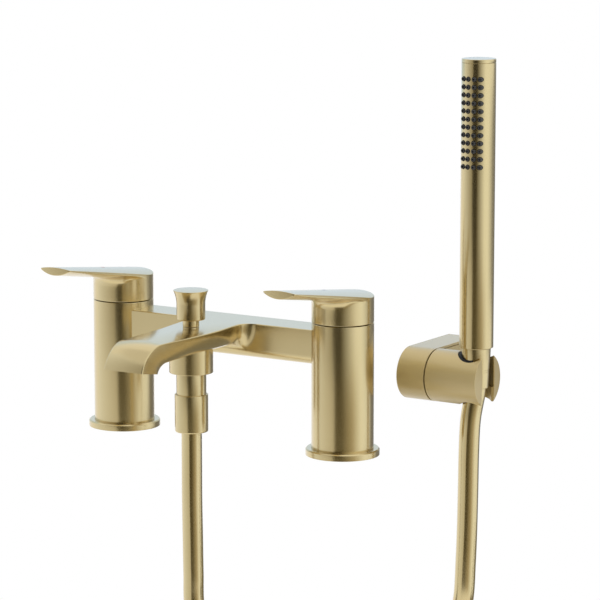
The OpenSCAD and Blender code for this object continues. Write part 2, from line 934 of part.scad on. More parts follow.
module lever_plan() {
    corner = [lever_tip_w / 2, -lever_reach];
    touch = atan2(corner[1], corner[0]) + acos(pillar_r / norm(corner));
    side = pillar_r * [cos(touch), sin(touch)];
    union() {
        circle(r = pillar_r);
        intersection() {
            polygon([side, corner, [-corner[0], corner[1]], [-side[0], side[1]]]);
            circle(r = lever_reach);
        }
    }
}

// A long cylinder in the lever's plane of symmetry that slopes up towards the tip
module sloped_cylinder(r, slope, z_at_axis) {
    translate([0, 0, z_at_axis])
    rotate([90 - slope, 0, 0])
    rod(r, -2 * lever_reach, 2 * lever_reach);
}

// One section of the blade's underside, at a distance in front of the axis
module belly_section(reach, r) {
    translate([0, -reach, under_axis_z + reach * tan(lever_under_slope) + r])
    rotate([90, 0, 0])
    rod(r, 0, over);
}

// The blend that leads the cap's front wall into the blade's underside
module lever_blend_ring() {
    top = blade_root_z + blend_rise;
    intersection() {
        rotate_extrude()
        difference() {
            translate([pillar_r - blend_root, top - lever_blend])
            square([lever_blend + blend_root, lever_blend]);
            translate([pillar_r + lever_blend, top - lever_blend])
            circle(r = lever_blend);
        }
        translate([-lever_tip_w / 2, -pillar_r - lever_blend - over, lever_z])
        cube([lever_tip_w, pillar_r, lever_edge_h]);
    }
}

module lever(side) {
    color(brass)
    at_inlet(side)
    difference() {
        intersection() {
            union() {
                rod(pillar_r, lever_z, crest_z + pillar_r);
                intersection() {
                    translate([0, 0, lever_z])
                    linear_extrude(lever_reach)
                    lever_plan();
                    hull() {
                        belly_section(0, lever_under_r);
                        belly_section(lever_reach, lever_tip_under_r);
                    }
                }
                lever_blend_ring();
            }
            sloped_cylinder(lever_crown_r, lever_rise, crest_z - lever_crown_r / cos(lever_rise));
        }
        rod(lever_hollow_d / 2, lever_z - over, socket_z);
        rod(spindle_d / 2 + fit, socket_z - over, socket_z + socket_h);
        translate([0, 0, grub_z])
        rotate([-90, 0, 0])
        rod(lever_grub_d / 2 + fit, 0, pillar_r + over);
        index_place()
        rod(index_d / 2 + fit, -index_pocket_h, over);
    }
}

// The crest of the lever at the index dot
module index_place() {
    translate([0, -index_reach, crest_z + index_reach * tan(lever_rise)])
    rotate([-lever_rise, 0, 0])
    children();
}

module index_dot(side, shade) {
    color(shade)
    at_inlet(side)
    index_place()
    rod(index_d / 2, -index_h, index_proud);
}

module lever_grub_screw(side) {
    color(steel)
    at_inlet(side)
    translate([0, 0, grub_z])
    rotate([-90, 0, 0])
    difference() {
        rod(lever_grub_d / 2, spindle_d / 2 + fit, spindle_d / 2 + lever_grub_len);
        translate([0, 0, spindle_d / 2 + lever_grub_len - key_depth])
        cylinder(r = lever_grub_d / 4, h = key_depth + over, $fn = 6);
    }
}

// Wall bracket

// Upright section of the arm: a round front at the pivot, and flat sides back to the wall
module arm_section(r, back) {
    union() {
        circle(r = r);
        translate([0, -r])
        square([back, 2 * r]);
    }
}

module arm_bar(r, back, x0, x1) {
    translate([x0, pivot_y, bracket_z])
    rotate([90, 0, 90])
    linear_extrude(x1 - x0)
    arm_section(r, back);
}

module at_bracket_grub() {
    translate([plate_mid_x, bracket_grub_y, 0])
    children();
}

module bracket_cover() {
    color(brass)
    difference() {
        arm_bar(bracket_r, bracket_reach, bracket_x, arm_end);
        arm_bar(bracket_r - cover_wall, bracket_reach + over, bracket_x + cover_wall, arm_end + over);
        at_bracket_grub()
        rod(bracket_grub_d / 2 + fit, bracket_z - bracket_r - over, bracket_z);
    }
}

module bracket_arm() {
    color(brass)
    difference() {
        arm_bar(arm_r, arm_back, arm_x, arm_end);
        pivot_rod(pivot_d / 2 + run, arm_x - over, arm_end + over);
        pivot_rod(pivot_head_d / 2 + gap, arm_x - over, shoulder_x);
        translate([plate_mid_x, boss_tip_y - fit, bracket_z])
        rotate([-90, 0, 0])
        rod(plate_boss_d / 2 + fit, 0, bracket_reach);
        for (z = [-wall_screw_span / 2, wall_screw_span / 2])
            translate([plate_mid_x, wall_y - plate_t, bracket_z + z])
            rotate([90, 0, 0])
            rod(screw_pocket_r, -over, screw_pocket_h);
        at_bracket_grub()
        rod(bracket_grub_d / 2 + fit, bracket_z - bracket_r, bracket_z);
    }
}

module bracket_wall_plate() {
    plate_w = arm_end - arm_x - plate_margin;
    color(steel)
    difference() {
        union() {
            translate([plate_mid_x - plate_w / 2, wall_y - plate_t, bracket_z - arm_r])
            cube([plate_w, plate_t, 2 * arm_r]);
            translate([plate_mid_x, boss_tip_y, bracket_z])
            rotate([-90, 0, 0])
            rod(plate_boss_d / 2, 0, plate_boss_h + plate_t / 2);
        }
        for (z = [-wall_screw_span / 2, wall_screw_span / 2])
            translate([plate_mid_x, wall_y, bracket_z + z])
            rotate([90, 0, 0])
            rod(wall_screw_d / 2, -over, plate_t + over);
    }
}

module bracket_grub_screw() {
    screw_z = bracket_z - bracket_r + bracket_grub_recess;
    color(steel)
    at_bracket_grub()
    difference() {
        rod(bracket_grub_d / 2, screw_z, bracket_z - plate_boss_d / 2 - fit);
        translate([0, 0, screw_z - over])
        cylinder(r = bracket_grub_d / 4, h = key_depth + over, $fn = 6);
    }
}

module pivot_bolt() {
    color(steel)
    difference() {
        union() {
            pivot_rod(pivot_head_d / 2, head_x, head_x + head_h);
            pivot_rod(pivot_d / 2, head_x + head_h, holder_x + pivot_depth - gap);
        }
        translate([head_x - over, pivot_y, bracket_z])
        rotate([0, 90, 0])
        cylinder(r = pivot_d / 2.6, h = head_h / 2 + over, $fn = 6);
    }
}

module pivot_ring(outer, inner, x0, x1) {
    difference() {
        pivot_rod(outer, x0, x1);
        pivot_rod(inner, x0 - over, x1 + over);
    }
}

module pivot_spring_washer() {
    washer_x = head_x + head_h;
    outer_r = pivot_head_d / 2 - spring_washer_step;
    color(steel)
    pivot_ring(outer_r, pivot_d / 2 + fit, washer_x, washer_x + spring_washer_h);
}

module friction_washer() {
    color(black)
    pivot_ring(friction_r, pivot_d / 2 + fit, arm_end + run, holder_x - fit);
}

module holder() {
    color(brass)
    difference() {
        pivot_rod(bracket_r, holder_x, holder_end);
        pivot_rod(pivot_d / 2 + fit, holder_x - over, holder_x + pivot_depth);
        at_handset()
        union() {
            rod(holder_bore_d / 2, ledge_z, bracket_z + bracket_r + over);
            rod(holder_bore_d / 2 - ledge_w, bracket_z - bracket_r - over, ledge_z + over);
            translate([0, -holder_slot_w / 2, bracket_z - bracket_r - over])
            cube([holder_bore_d, holder_slot_w, 2 * bracket_r + 2 * over]);
        }
    }
}

module holder_liner() {
    low_r = cone_low_d / 2 + gap - cone_taper * over;
    high_r = low_r + cone_taper * (2 * bracket_r);
    color(black)
    difference() {
        intersection() {
            at_handset()
            rod(holder_bore_d / 2 - fit, ledge_z + fit, bracket_z + bracket_r);
            pivot_rod(bracket_r - liner_step, holder_x, holder_end - liner_step);
        }
        at_handset()
        union() {
            translate([0, 0, cone_z - over])
            cylinder(r1 = low_r, r2 = high_r, h = 2 * bracket_r);
            translate([liner_mouth, -holder_bore_d, bracket_z - bracket_r])
            cube([holder_bore_d, 2 * holder_bore_d, 2 * bracket_r + over]);
        }
    }
}

// Handset

module handset_nut() {
    groove_h = 0.5;
    groove_depth = 0.3;
    groove_lift = 11;
    groove_step = 1.5;
    color(brass)
    at_handset()
    difference() {
        translate([0, 0, cone_z])
        cylinder(r1 = cone_low_d / 2, r2 = cone_top_d / 2, h = cone_h);
        rod(hose_r + fit, cone_z - over, tail_washer_z);
        rod(tail_d / 2 + fit, tail_washer_z - fit, cone_z + cone_h + over);
        for (lift = [groove_lift, groove_lift + groove_step])
            translate([0, 0, cone_z + lift])
            ring(cone_top_d, cone_low_d / 2 + cone_taper * lift - groove_depth, 0, groove_h);
    }
}

module handset_hose_ferrule() {
    color(brass)
    at_handset()
    ring(hose_r, hose_r - hose_wall, handset_hose_top, handset_hose_top + handset_ferrule_h);
}

module handset_washer() {
    color(rubber)
    at_handset()
    ring(tail_d / 2 - tail_washer_step, restrictor_r - restrictor_lip / 2, tail_washer_z, tail_z);
}

module handset_tail() {
    color(brass)
    at_handset()
    difference() {
        union() {
            rod(tail_d / 2, tail_z, handset_z);
            rod(tube_bore_r - fit, handset_z, handset_z + tail_plug_h);
        }
        rod(restrictor_r - restrictor_lip, tail_z - over, handset_z + tail_plug_h + over);
        rod(restrictor_r + fit, handset_z + tail_plug_h - restrictor_h, handset_z + tail_plug_h + over);
    }
}

module flow_restrictor() {
    color("#4f7a5a")
    at_handset()
    ring(restrictor_r, restrictor_hole_r, handset_z + tail_plug_h - restrictor_h, handset_z + tail_plug_h);
}

// Repeats a shape that points out of the tube, once for each nozzle
module at_nozzles() {
    for (column = [0:nozzle_columns - 1], row = [0:nozzle_rows - 1])
        rotate([0, 0, nozzle_facing + (column - (nozzle_columns - 1) / 2) * nozzle_step])
        translate([0, 0, first_row_z - row * nozzle_pitch])
        rotate([90, 0, 0])
        children();
}

module handset_tube() {
    color(brass)
    at_handset()
    difference() {
        ring(handset_d / 2, tube_bore_r, handset_z, tube_top);
        at_nozzles()
        rod(nozzle_d / 2 + fit, tube_bore_r - over, handset_d / 2 + over);
    }
}

module handset_cap() {
    plug_h = 5;
    color(brass)
    at_handset()
    union() {
        rod(handset_d / 2, handset_top - cap_h, handset_top);
        rod(tube_bore_r - fit, tube_top - plug_h, handset_top - cap_h);
    }
}

// A wedge of the tube's inside that faces the same way as the nozzles
module facing_wedge(half_angle, z0, z1) {
    far = 2 * handset_d;
    rotate([0, 0, nozzle_facing])
    translate([0, 0, z0])
    linear_extrude(z1 - z0)
    polygon([[0, 0], far * [-sin(half_angle), -cos(half_angle)], far * [sin(half_angle), -cos(half_angle)]]);
}

module nozzle_mat() {
    low_z = last_row_z - mat_margin;
    high_z = first_row_z + mat_margin;
    color(black)
    at_handset()
    difference() {
        union() {
            intersection() {
                ring(tube_bore_r - fit, tube_bore_r - mat_t, low_z, high_z);
                facing_wedge(mat_half_angle, low_z, high_z);
            }
            at_nozzles()
            rod(nozzle_d / 2, tube_bore_r - mat_t / 2, handset_d / 2 + nozzle_proud);
        }
        at_nozzles()
        rod(nozzle_d / 7, tube_bore_r - mat_t - over, handset_d / 2 + nozzle_proud + over);
    }
}

module handset_waterway() {
    color(plastic)
    at_handset()
    difference() {
        ring(waterway_r, waterway_r - waterway_wall, handset_z + tail_plug_h, tube_top - waterway_end);
        facing_wedge(
            mat_half_angle - window_spare_angle,
            last_row_z - mat_margin + window_margin,
            first_row_z + mat_margin - window_margin
        );
    }
}

// Hose

module along_hose() {
    at_diverter()
    rotate([0, 0, hose_angle])
    children();
}

coil_steps = 24;
coil_count = coil_turns * coil_steps;
coil_loops = [for (i = [0:coil_count])
    let (a = 180 + 360 * i / coil_steps)
    [coil_mid + coil_r * cos(a), -coil_side + coil_pitch * i / coil_steps, coil_z + coil_r * sin(a)]];
coil_route = concat(
    [coil_loops[0] + [0, 0, coil_tail]],
    coil_loops,
    [coil_loops[coil_count] + [0, 0, coil_tail]]
);

// Least clear distance between two turns of the coil
coil_self_gap = min([for (i = [0:coil_count], j = [i + coil_steps / 2:coil_count])
    norm(coil_loops[i] - coil_loops[j])]) - hose_d;
echo(coil_self_gap = coil_self_gap);

module hose_mixer_run() {
    color(brass)
    along_hose()
    swept_tube(mixer_route, hose_r, 10);
}

module hose_coil() {
    color(brass)
    along_hose()
    swept_tube(coil_route, hose_r, 6);
}

module hose_handset_run() {
    color(brass)
    along_hose()
    swept_tube(handset_route, hose_r, 10);
}

// A flat band around turns that lie side by side, half_span to each side of the middle
module tie(half_span, z) {
    inner = hose_r + tie_room;
    color(black)
    translate([coil_mid - tie_w / 2, 0, z])
    rotate([90, 0, 90])
    linear_extrude(tie_w)
    difference() {
        union() {
            translate([-half_span, -inner - tie_t])
            square([2 * half_span, 2 * (inner + tie_t)]);
            for (y = [-half_span, half_span])
                translate([y, 0])
                circle(r = inner + tie_t);
        }
        union() {
            translate([-half_span, -inner])
            square([2 * half_span, 2 * inner]);
            for (y = [-half_span, half_span])
                translate([y, 0])
                circle(r = inner);
        }
    }
}

module hose_ties() {
    along_hose()
    union() {
        tie(coil_pitch * floor(coil_turns) / 2, coil_z - coil_r);
        tie(coil_pitch * (floor(coil_turns) - 1) / 2, coil_z + coil_r);
    }
}

bridge_spout();
pillar(-1);  // left_pillar
pillar(1);  // right_pillar
flange(-1);  // left_flange
flange(1);  // right_flange
gasket(-1);  // left_gasket
gasket(1);  // right_gasket
cartridge(-1);  // left_cartridge
cartridge(1);  // right_cartridge
seat_washer(-1);  // left_seat_washer
seat_washer(1);  // right_seat_washer
fixed_disc(-1);  // left_fixed_disc
fixed_disc(1);  // right_fixed_disc
flow_straightener();
diverter_bonnet();
diverter_spring();
shower_outlet();
check_valve();
mixer_hose_washer();
mixer_hose_ferrule();
mixer_hose_nut();
bracket_wall_plate();
bracket_arm();
bracket_cover();
bracket_grub_screw();
hose_mixer_run();
hose_coil();
hose_handset_run();
hose_ties();
lever(-1);  // left_lever
spindle(-1);  // left_spindle
moving_disc(-1);  // left_moving_disc
lever_grub_screw(-1);  // left_grub_screw
index_dot(-1, "#b3372f");  // hot_index
lever(1);  // right_lever
spindle(1);  // right_spindle
moving_disc(1);  // right_moving_disc
lever_grub_screw(1);  // right_grub_screw
index_dot(1, "#3b5d9a");  // cold_index
diverter_knob();
diverter_stem();
diverter_piston();
diverter_seals();
holder();
holder_liner();
pivot_bolt();
pivot_spring_washer();
friction_washer();
handset_hose_ferrule();
handset_nut();
handset_tube();
handset_cap();
handset_tail();
handset_washer();
handset_waterway();
nozzle_mat();
flow_restrictor();
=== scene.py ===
import json
import math

import bmesh
import bpy
from mathutils import Matrix, Vector


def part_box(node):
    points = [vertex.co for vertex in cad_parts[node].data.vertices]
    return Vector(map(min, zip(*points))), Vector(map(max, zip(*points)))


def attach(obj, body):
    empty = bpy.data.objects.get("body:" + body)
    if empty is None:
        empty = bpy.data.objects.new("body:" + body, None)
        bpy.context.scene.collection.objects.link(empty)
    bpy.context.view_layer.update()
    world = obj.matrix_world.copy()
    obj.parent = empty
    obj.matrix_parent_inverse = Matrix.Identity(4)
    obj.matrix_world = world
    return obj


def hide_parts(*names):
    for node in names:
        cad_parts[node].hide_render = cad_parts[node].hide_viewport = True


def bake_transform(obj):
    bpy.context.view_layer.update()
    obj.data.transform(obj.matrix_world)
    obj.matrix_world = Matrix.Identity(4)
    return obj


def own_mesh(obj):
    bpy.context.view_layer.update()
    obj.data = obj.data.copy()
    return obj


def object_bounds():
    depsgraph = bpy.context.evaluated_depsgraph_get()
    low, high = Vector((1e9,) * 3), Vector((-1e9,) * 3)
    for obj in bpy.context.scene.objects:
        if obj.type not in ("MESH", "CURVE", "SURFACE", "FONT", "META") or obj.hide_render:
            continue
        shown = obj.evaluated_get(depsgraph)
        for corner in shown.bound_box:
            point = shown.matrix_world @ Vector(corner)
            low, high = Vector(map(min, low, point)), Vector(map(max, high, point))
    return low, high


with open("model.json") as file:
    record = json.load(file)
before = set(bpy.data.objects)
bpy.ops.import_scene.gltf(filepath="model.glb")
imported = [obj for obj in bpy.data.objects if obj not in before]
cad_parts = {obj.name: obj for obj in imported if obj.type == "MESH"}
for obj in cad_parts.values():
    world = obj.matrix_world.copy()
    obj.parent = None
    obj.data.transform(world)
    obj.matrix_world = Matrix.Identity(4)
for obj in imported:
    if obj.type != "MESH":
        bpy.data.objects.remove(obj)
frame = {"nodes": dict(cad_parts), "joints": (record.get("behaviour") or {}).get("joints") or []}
cad_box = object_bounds()
cad = frame["nodes"]
scene = bpy.context.scene

# Camera: a long lens on the bather's right, above the levers, tilted a little down.
# It stands far enough back for the pillars and the handset to look upright.
MM = 0.001
IMAGE_PIXELS = 600
SENSOR_MM = 36.0
focal_pixels = 3068.0
camera_place = Vector((1148.0, -1720.5, 447.0)) * MM
camera_turn = math.radians(32.4)
camera_tilt = math.radians(9.61)

eye = bpy.data.cameras.new("view")
eye.sensor_width = SENSOR_MM
eye.lens = focal_pixels * SENSOR_MM / IMAGE_PIXELS
camera = bpy.data.objects.new("view", eye)
camera.location = camera_place
camera.rotation_euler = (math.pi / 2 - camera_tilt, 0.0, camera_turn)
scene.collection.objects.link(camera)
scene.camera = camera

# Shower hose: a smooth metallised PVC hose, 14 mm thick and about 1.6 m long, crimped into two nuts.
# It hangs from the outlet and from the handset, and its spare length is wound and tied below.
hose_d = 14.0
hose_sides = 24
hose_step = 3.0


def span(node):
    """Lowest and highest corner of a CAD node and the upright axis through its middle, in mm."""
    low, high = (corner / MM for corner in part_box(node))
    middle = (low + high) / 2
    return low, high, Vector((middle.x, middle.y, 0.0))


outlet_low, _, outlet_axis = span("shower_outlet")
_, _, handset_axis = span("handset_tube")
hose_span = (handset_axis - outlet_axis).xy
hose_turn = math.atan2(hose_span.y, hose_span.x)
hose_far = hose_span.length * MM
cone_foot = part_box("handset_nut")[0].z
hose_in_nut = 0.008
hose_straight = 0.002

# Points along the upright plane through both axes, across it, and up, in metres
mixer_route = [
    (0, 0, 0.018), (0, 0, -0.006), (0, 0, -0.032), (0.0003, 0, -0.058), (0.0006, 0, -0.084),
    (0.0014, -0.0004, -0.110), (0.0085, -0.006, -0.136), (0.0205, -0.0155, -0.162),
    (0.025, -0.01875, -0.186),
]
handset_route = [
    (hose_far, 0, cone_foot + hose_in_nut), (hose_far, 0, cone_foot - hose_straight),
    (0.1883, 0, 0.022), (0.1873, 0, 0), (0.187, 0, -0.026), (0.1866, 0, -0.052), (0.1858, 0, -0.078),
    (0.1844, 0.001, -0.104), (0.179, 0.006, -0.130), (0.170, 0.016, -0.158), (0.167, 0.01875, -0.186),
]
coil_mid = 0.096
coil_z = -0.200
coil_r = 0.071
coil_pitch = 0.015
coil_turns = 2.5
turn_points = 24
coil_route = []
for i in range(int(coil_turns * turn_points) + 1):
    turn = math.pi + 2 * math.pi * i / turn_points
    across = coil_pitch * (i / turn_points - coil_turns / 2)
    coil_route.append((coil_mid + coil_r * math.cos(turn), across, coil_z + coil_r * math.sin(turn)))
coil_end = handset_route[-1]


def in_room(route):
    """A hose route's points in the object's frame, in millimetres."""
    swing = Matrix.Rotation(hose_turn, 3, "Z")
    return [outlet_axis + swing @ (Vector(p) / MM) for p in route]


def smooth_path(points, step):
    """Points about a step apart on the smooth curve through the given ones."""
    path = []
    last = len(points) - 1
    for i in range(last):
        a, b, c, d = (points[min(max(k, 0), last)] for k in (i - 1, i, i + 1, i + 2))
        count = max(1, round((c - b).length / step))
        for k in range(count):
            t = k / count
            path.append(
                b + 0.5 * t * ((c - a) + t * ((2 * a - 5 * b + 4 * c - d) + t * (3 * (b - c) + d - a)))
            )
    return path + [points[-1]]


def lofted(name, rings, loop=False):
    """A mesh over rings of points in millimetres. A ring of one point is a pole. Loop closes it."""
    skin = bmesh.new()
    rows = [[skin.verts.new(Vector(p) * MM) for p in ring] for ring in rings]
    for low, high in zip(rows, rows[1:] + rows[:1] if loop else rows[1:]):
        count = max(len(low), len(high))
        for i in range(count):
            j = (i + 1) % count
            corners = (low[i % len(low)], low[j % len(low)], high[j % len(high)], high[i % len(high)])
            skin.faces.new(dict.fromkeys(corners))
    if not loop:
        for row in (rows[0], rows[-1]):
            if len(row) > 1:
                skin.faces.new(row)
    bmesh.ops.recalc_face_normals(skin, faces=skin.faces)
    return to_mesh(name, skin)


def to_mesh(name, skin, crease=35.0):
    """Turns a bmesh into a mesh that is smooth, apart from creases sharper than this angle."""
    mesh = bpy.data.meshes.new(name)
    skin.to_mesh(mesh)
    skin.free()
    mesh.shade_smooth()
    mesh.set_sharp_from_angle(angle=math.radians(crease))
    return mesh


def loose(name, mesh):
    made = bpy.data.objects.new(name, mesh)
    scene.collection.objects.link(made)
    return made


def piece(name, mesh, finish, slot, *stands_for, body=None):
    """A piece with its finish that stands for CAD nodes and moves with the body."""
    made = loose(name, mesh)
    mesh.materials.clear()
    mesh.materials.append(finish)
    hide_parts(*stands_for)
    if body:
        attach(made, body)
    return made


def tube_rings(path, radius, sides):
    """Rings of points around a path, turned as little as can be from one to the next."""
    rings = []
    side = Vector((0.0, 1.0, 0.0))
    for i, p in enumerate(path):
        along = (path[min(i + 1, len(path) - 1)] - path[max(i - 1, 0)]).normalized()
        side = (side - along * side.dot(along)).normalized()
        up = along.cross(side)
        angles = [2 * math.pi * k / sides for k in range(sides)]
        rings.append([p + radius * (math.cos(a) * side + math.sin(a) * up) for a in angles])
    return rings


class Wire:
    """One output of a node tree. Arithmetic on it adds Math nodes."""

    def __init__(self, tree, socket=None):
        self.tree = tree
        self.socket = socket

    def feed(self, target, value):
        """Links another wire to a socket, or sets the socket to a plain value."""
        if isinstance(value, Wire):
            self.tree.links.new(value.socket, target)
        else:
            target.default_value = value

    def node(self, kind, settings=None, sockets=None, out=0):
        """Adds a node with its settings and its sockets, and gives the wire of one output."""
        made = self.tree.nodes.new(kind)
        for name, value in (settings or {}).items():
            setattr(made, name, value)
        for name, value in (sockets or {}).items():
            self.feed(made.inputs[name], value)
        return Wire(self.tree, made.outputs[out])

    def math(self, operation, a, b=0.0):
        return self.node("ShaderNodeMath", {"operation": operation}, {0: a, 1: b})

    def __add__(self, other):
        return self.math("ADD", self, other)

    def __radd__(self, other):
        return self.math("ADD", other, self)

    def __mul__(self, other):
        return self.math("MULTIPLY", self, other)

    def __rmul__(self, other):
        return self.math("MULTIPLY", other, self)

    def between(self, first, second):
        """The colour that lies this far from the first to the second."""
        return self.node("ShaderNodeMix", {"data_type": "RGBA"}, {0: self, 6: first, 7: second}, out=2)

    def stretched(self, amounts):
        """This vector times three amounts."""
        return self.node("ShaderNodeVectorMath", {"operation": "MULTIPLY"}, {0: self, 1: amounts})


def new_finish(name, **fixed):
    """A material with fixed shader values, its shader, and the wire of its place on the object."""
    finish = bpy.data.materials.new(name)
    finish.use_nodes = True
    shader = finish.node_tree.nodes["Principled BSDF"]
    for socket, value in fixed.items():
        shader.inputs[socket.replace("_", " ")].default_value = value
    place = Wire(finish.node_tree).node("ShaderNodeTexCoord", out="Object")
    return finish, shader, place


def noise(place, waves, detail=2.0):
    """Smooth noise from 0 to 1, with so many waves per metre, in all or along X, Y and Z."""
    each = waves if isinstance(waves, tuple) else (waves, waves, waves)
    return place.node(
        "ShaderNodeTexNoise", {}, {"Vector": place.stretched(each), "Scale": 1.0, "Detail": detail}
    )


def bump(height, strength, distance):
    """The normal of a surface that a wire raises by up to so many metres."""
    return height.node(
        "ShaderNodeBump", {}, {"Strength": strength, "Distance": distance, "Height": height}
    )


BRASS_PALE = (0.68, 0.55, 0.28, 1.0)
BRASS_DEEP = (0.64, 0.51, 0.25, 1.0)


def satin_brass(name, grain, rough=0.235, deep=BRASS_DEEP, pale=BRASS_PALE, metallic=1.0, coat=0.8):
    """Brass brushed with a fine abrasive, then lacquered. The grain is in waves per metre."""
    finish, shader, place = new_finish(name, Metallic=metallic, Coat_Weight=coat, Coat_Roughness=0.22)
    streaks = noise(place, grain, 1.0)
    haze = noise(place, 38.0)
    place.feed(shader.inputs["Base Color"], (0.2 * streaks + 0.8 * haze).between(deep, pale))
    place.feed(shader.inputs["Roughness"], rough - 0.01 + 0.008 * streaks + 0.012 * haze)
    place.feed(shader.inputs["Normal"], bump(streaks, 0.2, 0.000001))
    return finish


hose_skin = satin_brass("hose_skin", 60.0, rough=0.17)
mixer_hose_path = smooth_path(in_room(mixer_route + coil_route + [coil_end]), hose_step)
handset_hose_path = smooth_path(in_room(handset_route), hose_step)
swing_length = 90.0
held_points = 4
still_points = 12


def path_length(path):
    return sum((b - a).length for a, b in zip(path, path[1:]))


def hose(name, path, lay, *stands_for, body=None):
    rings = tube_rings(path, hose_d / 2, hose_sides)
    made = piece(name, lofted(name, rings), hose_skin, "hose_skin", *stands_for, body=body)
    metres = [p * MM for p in path]
    path_length(metres)
    return made


hose("hose_from_mixer", mixer_hose_path, "coiled", "hose_mixer_run", "hose_coil", body="mixer")
split = 0
while path_length(handset_hose_path[:split + 1]) < swing_length:
    split += 1
upper_hose = hose("hose_at_handset", handset_hose_path[:split + 1], "hanging", "hose_handset_run")
lower_hose = hose("hose_below_holder", handset_hose_path[split:], "hanging", "hose_handset_run")
hose_split = handset_hose_path[split] * MM
hose_held = handset_hose_path[held_points] * MM
hose_still = handset_hose_path[-still_points] * MM
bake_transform(upper_hose)
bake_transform(lower_hose)

# Hose ties: two soft black straps of woven nylon that hold the turns of the coil together.
# They are cut from one strip and closed on themselves.
strap, strap_shader, strap_place = new_finish("woven_strap", Roughness=0.8)
weave = noise(strap_place, 900.0) * noise(strap_place, (160.0, 160.0, 2200.0))
strap_colour = weave.between((0.012, 0.012, 0.013, 1.0), (0.06, 0.06, 0.06, 1.0))
strap_place.feed(strap_shader.inputs["Base Color"], strap_colour)
strap_place.feed(strap_shader.inputs["Normal"], bump(weave, 0.6, 0.0003))


def dress(finish, *names):
    """Gives a finish to CAD nodes that show as they are."""
    for name in names:
        cad[name].data.materials.clear()
        cad[name].data.materials.append(finish)


dress(strap, "hose_ties")

# Base flanges: turned brass rings with a small chamfer that cover the holes in the deck.
# Each drops over its pillar and presses a rubber gasket on the deck.
around = 176
corner_steps = 5


def bezier(start, bend, end, steps):
    """A short curve that leaves start and reaches end along the lines to bend."""
    start, bend, end = Vector(start), Vector(bend), Vector(end)
    shares = [k / steps for k in range(steps + 1)]
    return [(1 - t) ** 2 * start + 2 * t * (1 - t) * bend + t * t * end for t in shares]


def softened(outline):
    """An outline of (radius, height) or (radius, height, corner radius), with its corners rounded."""
    points = [Vector(p[:2]) for p in outline]
    soft = []
    for i, p in enumerate(points):
        corner = outline[i][2] if len(outline[i]) > 2 else 0.0
        if not corner:
            soft.append(p)
            continue
        back = (points[i - 1] - p).normalized()
        ahead = (points[(i + 1) % len(points)] - p).normalized()
        reach = corner / math.tan(back.angle(ahead) / 2)
        soft += bezier(p + back * reach, p, p + ahead * reach, corner_steps)
    return soft


UPRIGHT = Matrix.Identity(3)
ALONG_X = Matrix(((0.0, 0.0, 1.0), (1.0, 0.0, 0.0), (0.0, 1.0, 0.0)))


def turned(name, outline, axis, pose=UPRIGHT, steps=around, loop=True):
    """A piece turned on a lathe. A loop has a bore, and without it the ends lie on the axis."""
    rings = []
    for p in softened(outline):
        if p.x < 1e-6:
            rings.append([axis + pose @ Vector((0.0, 0.0, p.y))])
            continue
        angles = [2 * math.pi * k / steps for k in range(steps)]
        rings.append([axis + pose @ Vector((p.x * math.cos(a), p.x * math.sin(a), p.y)) for a in angles])
    return lofted(name, rings, loop)


TURNED_GRAIN = (30.0, 30.0, 620.0)
brass_turned = satin_brass("satin_brass_turned", TURNED_GRAIN)
flange_fit = 0.05
flange_chamfer = 0.8
for side in ("left", "right"):
    low, high, axis = span(side + "_flange")
    bore = (span(side + "_pillar")[1].x - axis.x) + flange_fit
    recess = span(side + "_gasket")[1].x - axis.x + flange_fit
    outer = high.x - axis.x
    seat = span(side + "_gasket")[1].z
    ring = turned(side + "_flange_ring", [
        (recess, low.z), (outer, low.z, 0.15), (outer, high.z - flange_chamfer, 0.3),
        (outer - flange_chamfer, high.z, 0.3), (bore, high.z, 0.1), (bore, seat), (recess, seat),
    ], axis)
    piece(side + "_flange_ring", ring, brass_turned, "satin_brass", side + "_flange", body="mixer")


def mottled(name, waves, dark, light, rough, rougher, detail=2.0, **fixed):
    """A finish between two colours, and rougher by up to so much, after one fine noise."""
    finish, shader, place = new_finish(name, **fixed)
    grain = noise(place, waves, detail)
    place.feed(shader.inputs["Base Color"], grain.between((*dark, 1.0), (*light, 1.0)))
    place.feed(shader.inputs["Roughness"], rough + rougher * grain)
    return finish


rubber = mottled(
    "black_rubber", 420.0, (0.014, 0.014, 0.014), (0.04, 0.039, 0.037), 0.55, 0.3, detail=4.0
)
dress(rubber, "left_gasket", "right_gasket")

# Pillars: brass bar, bored from both ends, with a female thread below and the cartridge chamber above.
# Each is clamped to the deck from below, and takes the bridge's spigot in its side.
inlet_r = 12.5
inlet_depth = 22.0
waterway_r = 7.0
chamber_r = 15.0
chamber_depth = 30.0
neck_r = 12.0
neck_h = 10.0
for side in ("left", "right"):
    low, high, axis = span(side + "_pillar")
    outer = high.x - axis.x
    seat = high.z - chamber_depth
    neck = high.z - neck_h
    body = turned(side + "_pillar_body", [
        (inlet_r, low.z, 0.4), (outer, low.z, 0.3), (outer, high.z, 0.35), (neck_r, high.z),
        (neck_r, neck), (chamber_r, neck), (chamber_r, seat), (waterway_r, seat),
        (waterway_r, inlet_depth), (inlet_r, inlet_depth),
    ], axis)
    piece(side + "_pillar_body", body, brass_turned, "satin_brass", side + "_pillar", body="mixer")

# Quarter-turn cartridges: bare turned brass bodies screwed into the pillars over a rubber seat.
# Two lapped ceramic discs inside open and shut the water as the spindle turns.
bare_brass = mottled(
    "bare_brass", (30.0, 30.0, 2600.0), (0.62, 0.46, 0.2), (0.74, 0.58, 0.28), 0.22, 0.16,
    detail=1.0, Metallic=1.0,
)
dress(bare_brass, "left_cartridge", "right_cartridge", "left_spindle", "right_spindle")
dress(rubber, "left_seat_washer", "right_seat_washer")

ceramic = mottled(
    "lapped_ceramic", 700.0, (0.78, 0.75, 0.68), (0.86, 0.84, 0.79), 0.16, 0.12, detail=3.0
)
dress(ceramic, "left_fixed_disc", "right_fixed_disc", "left_moving_disc", "right_moving_disc")

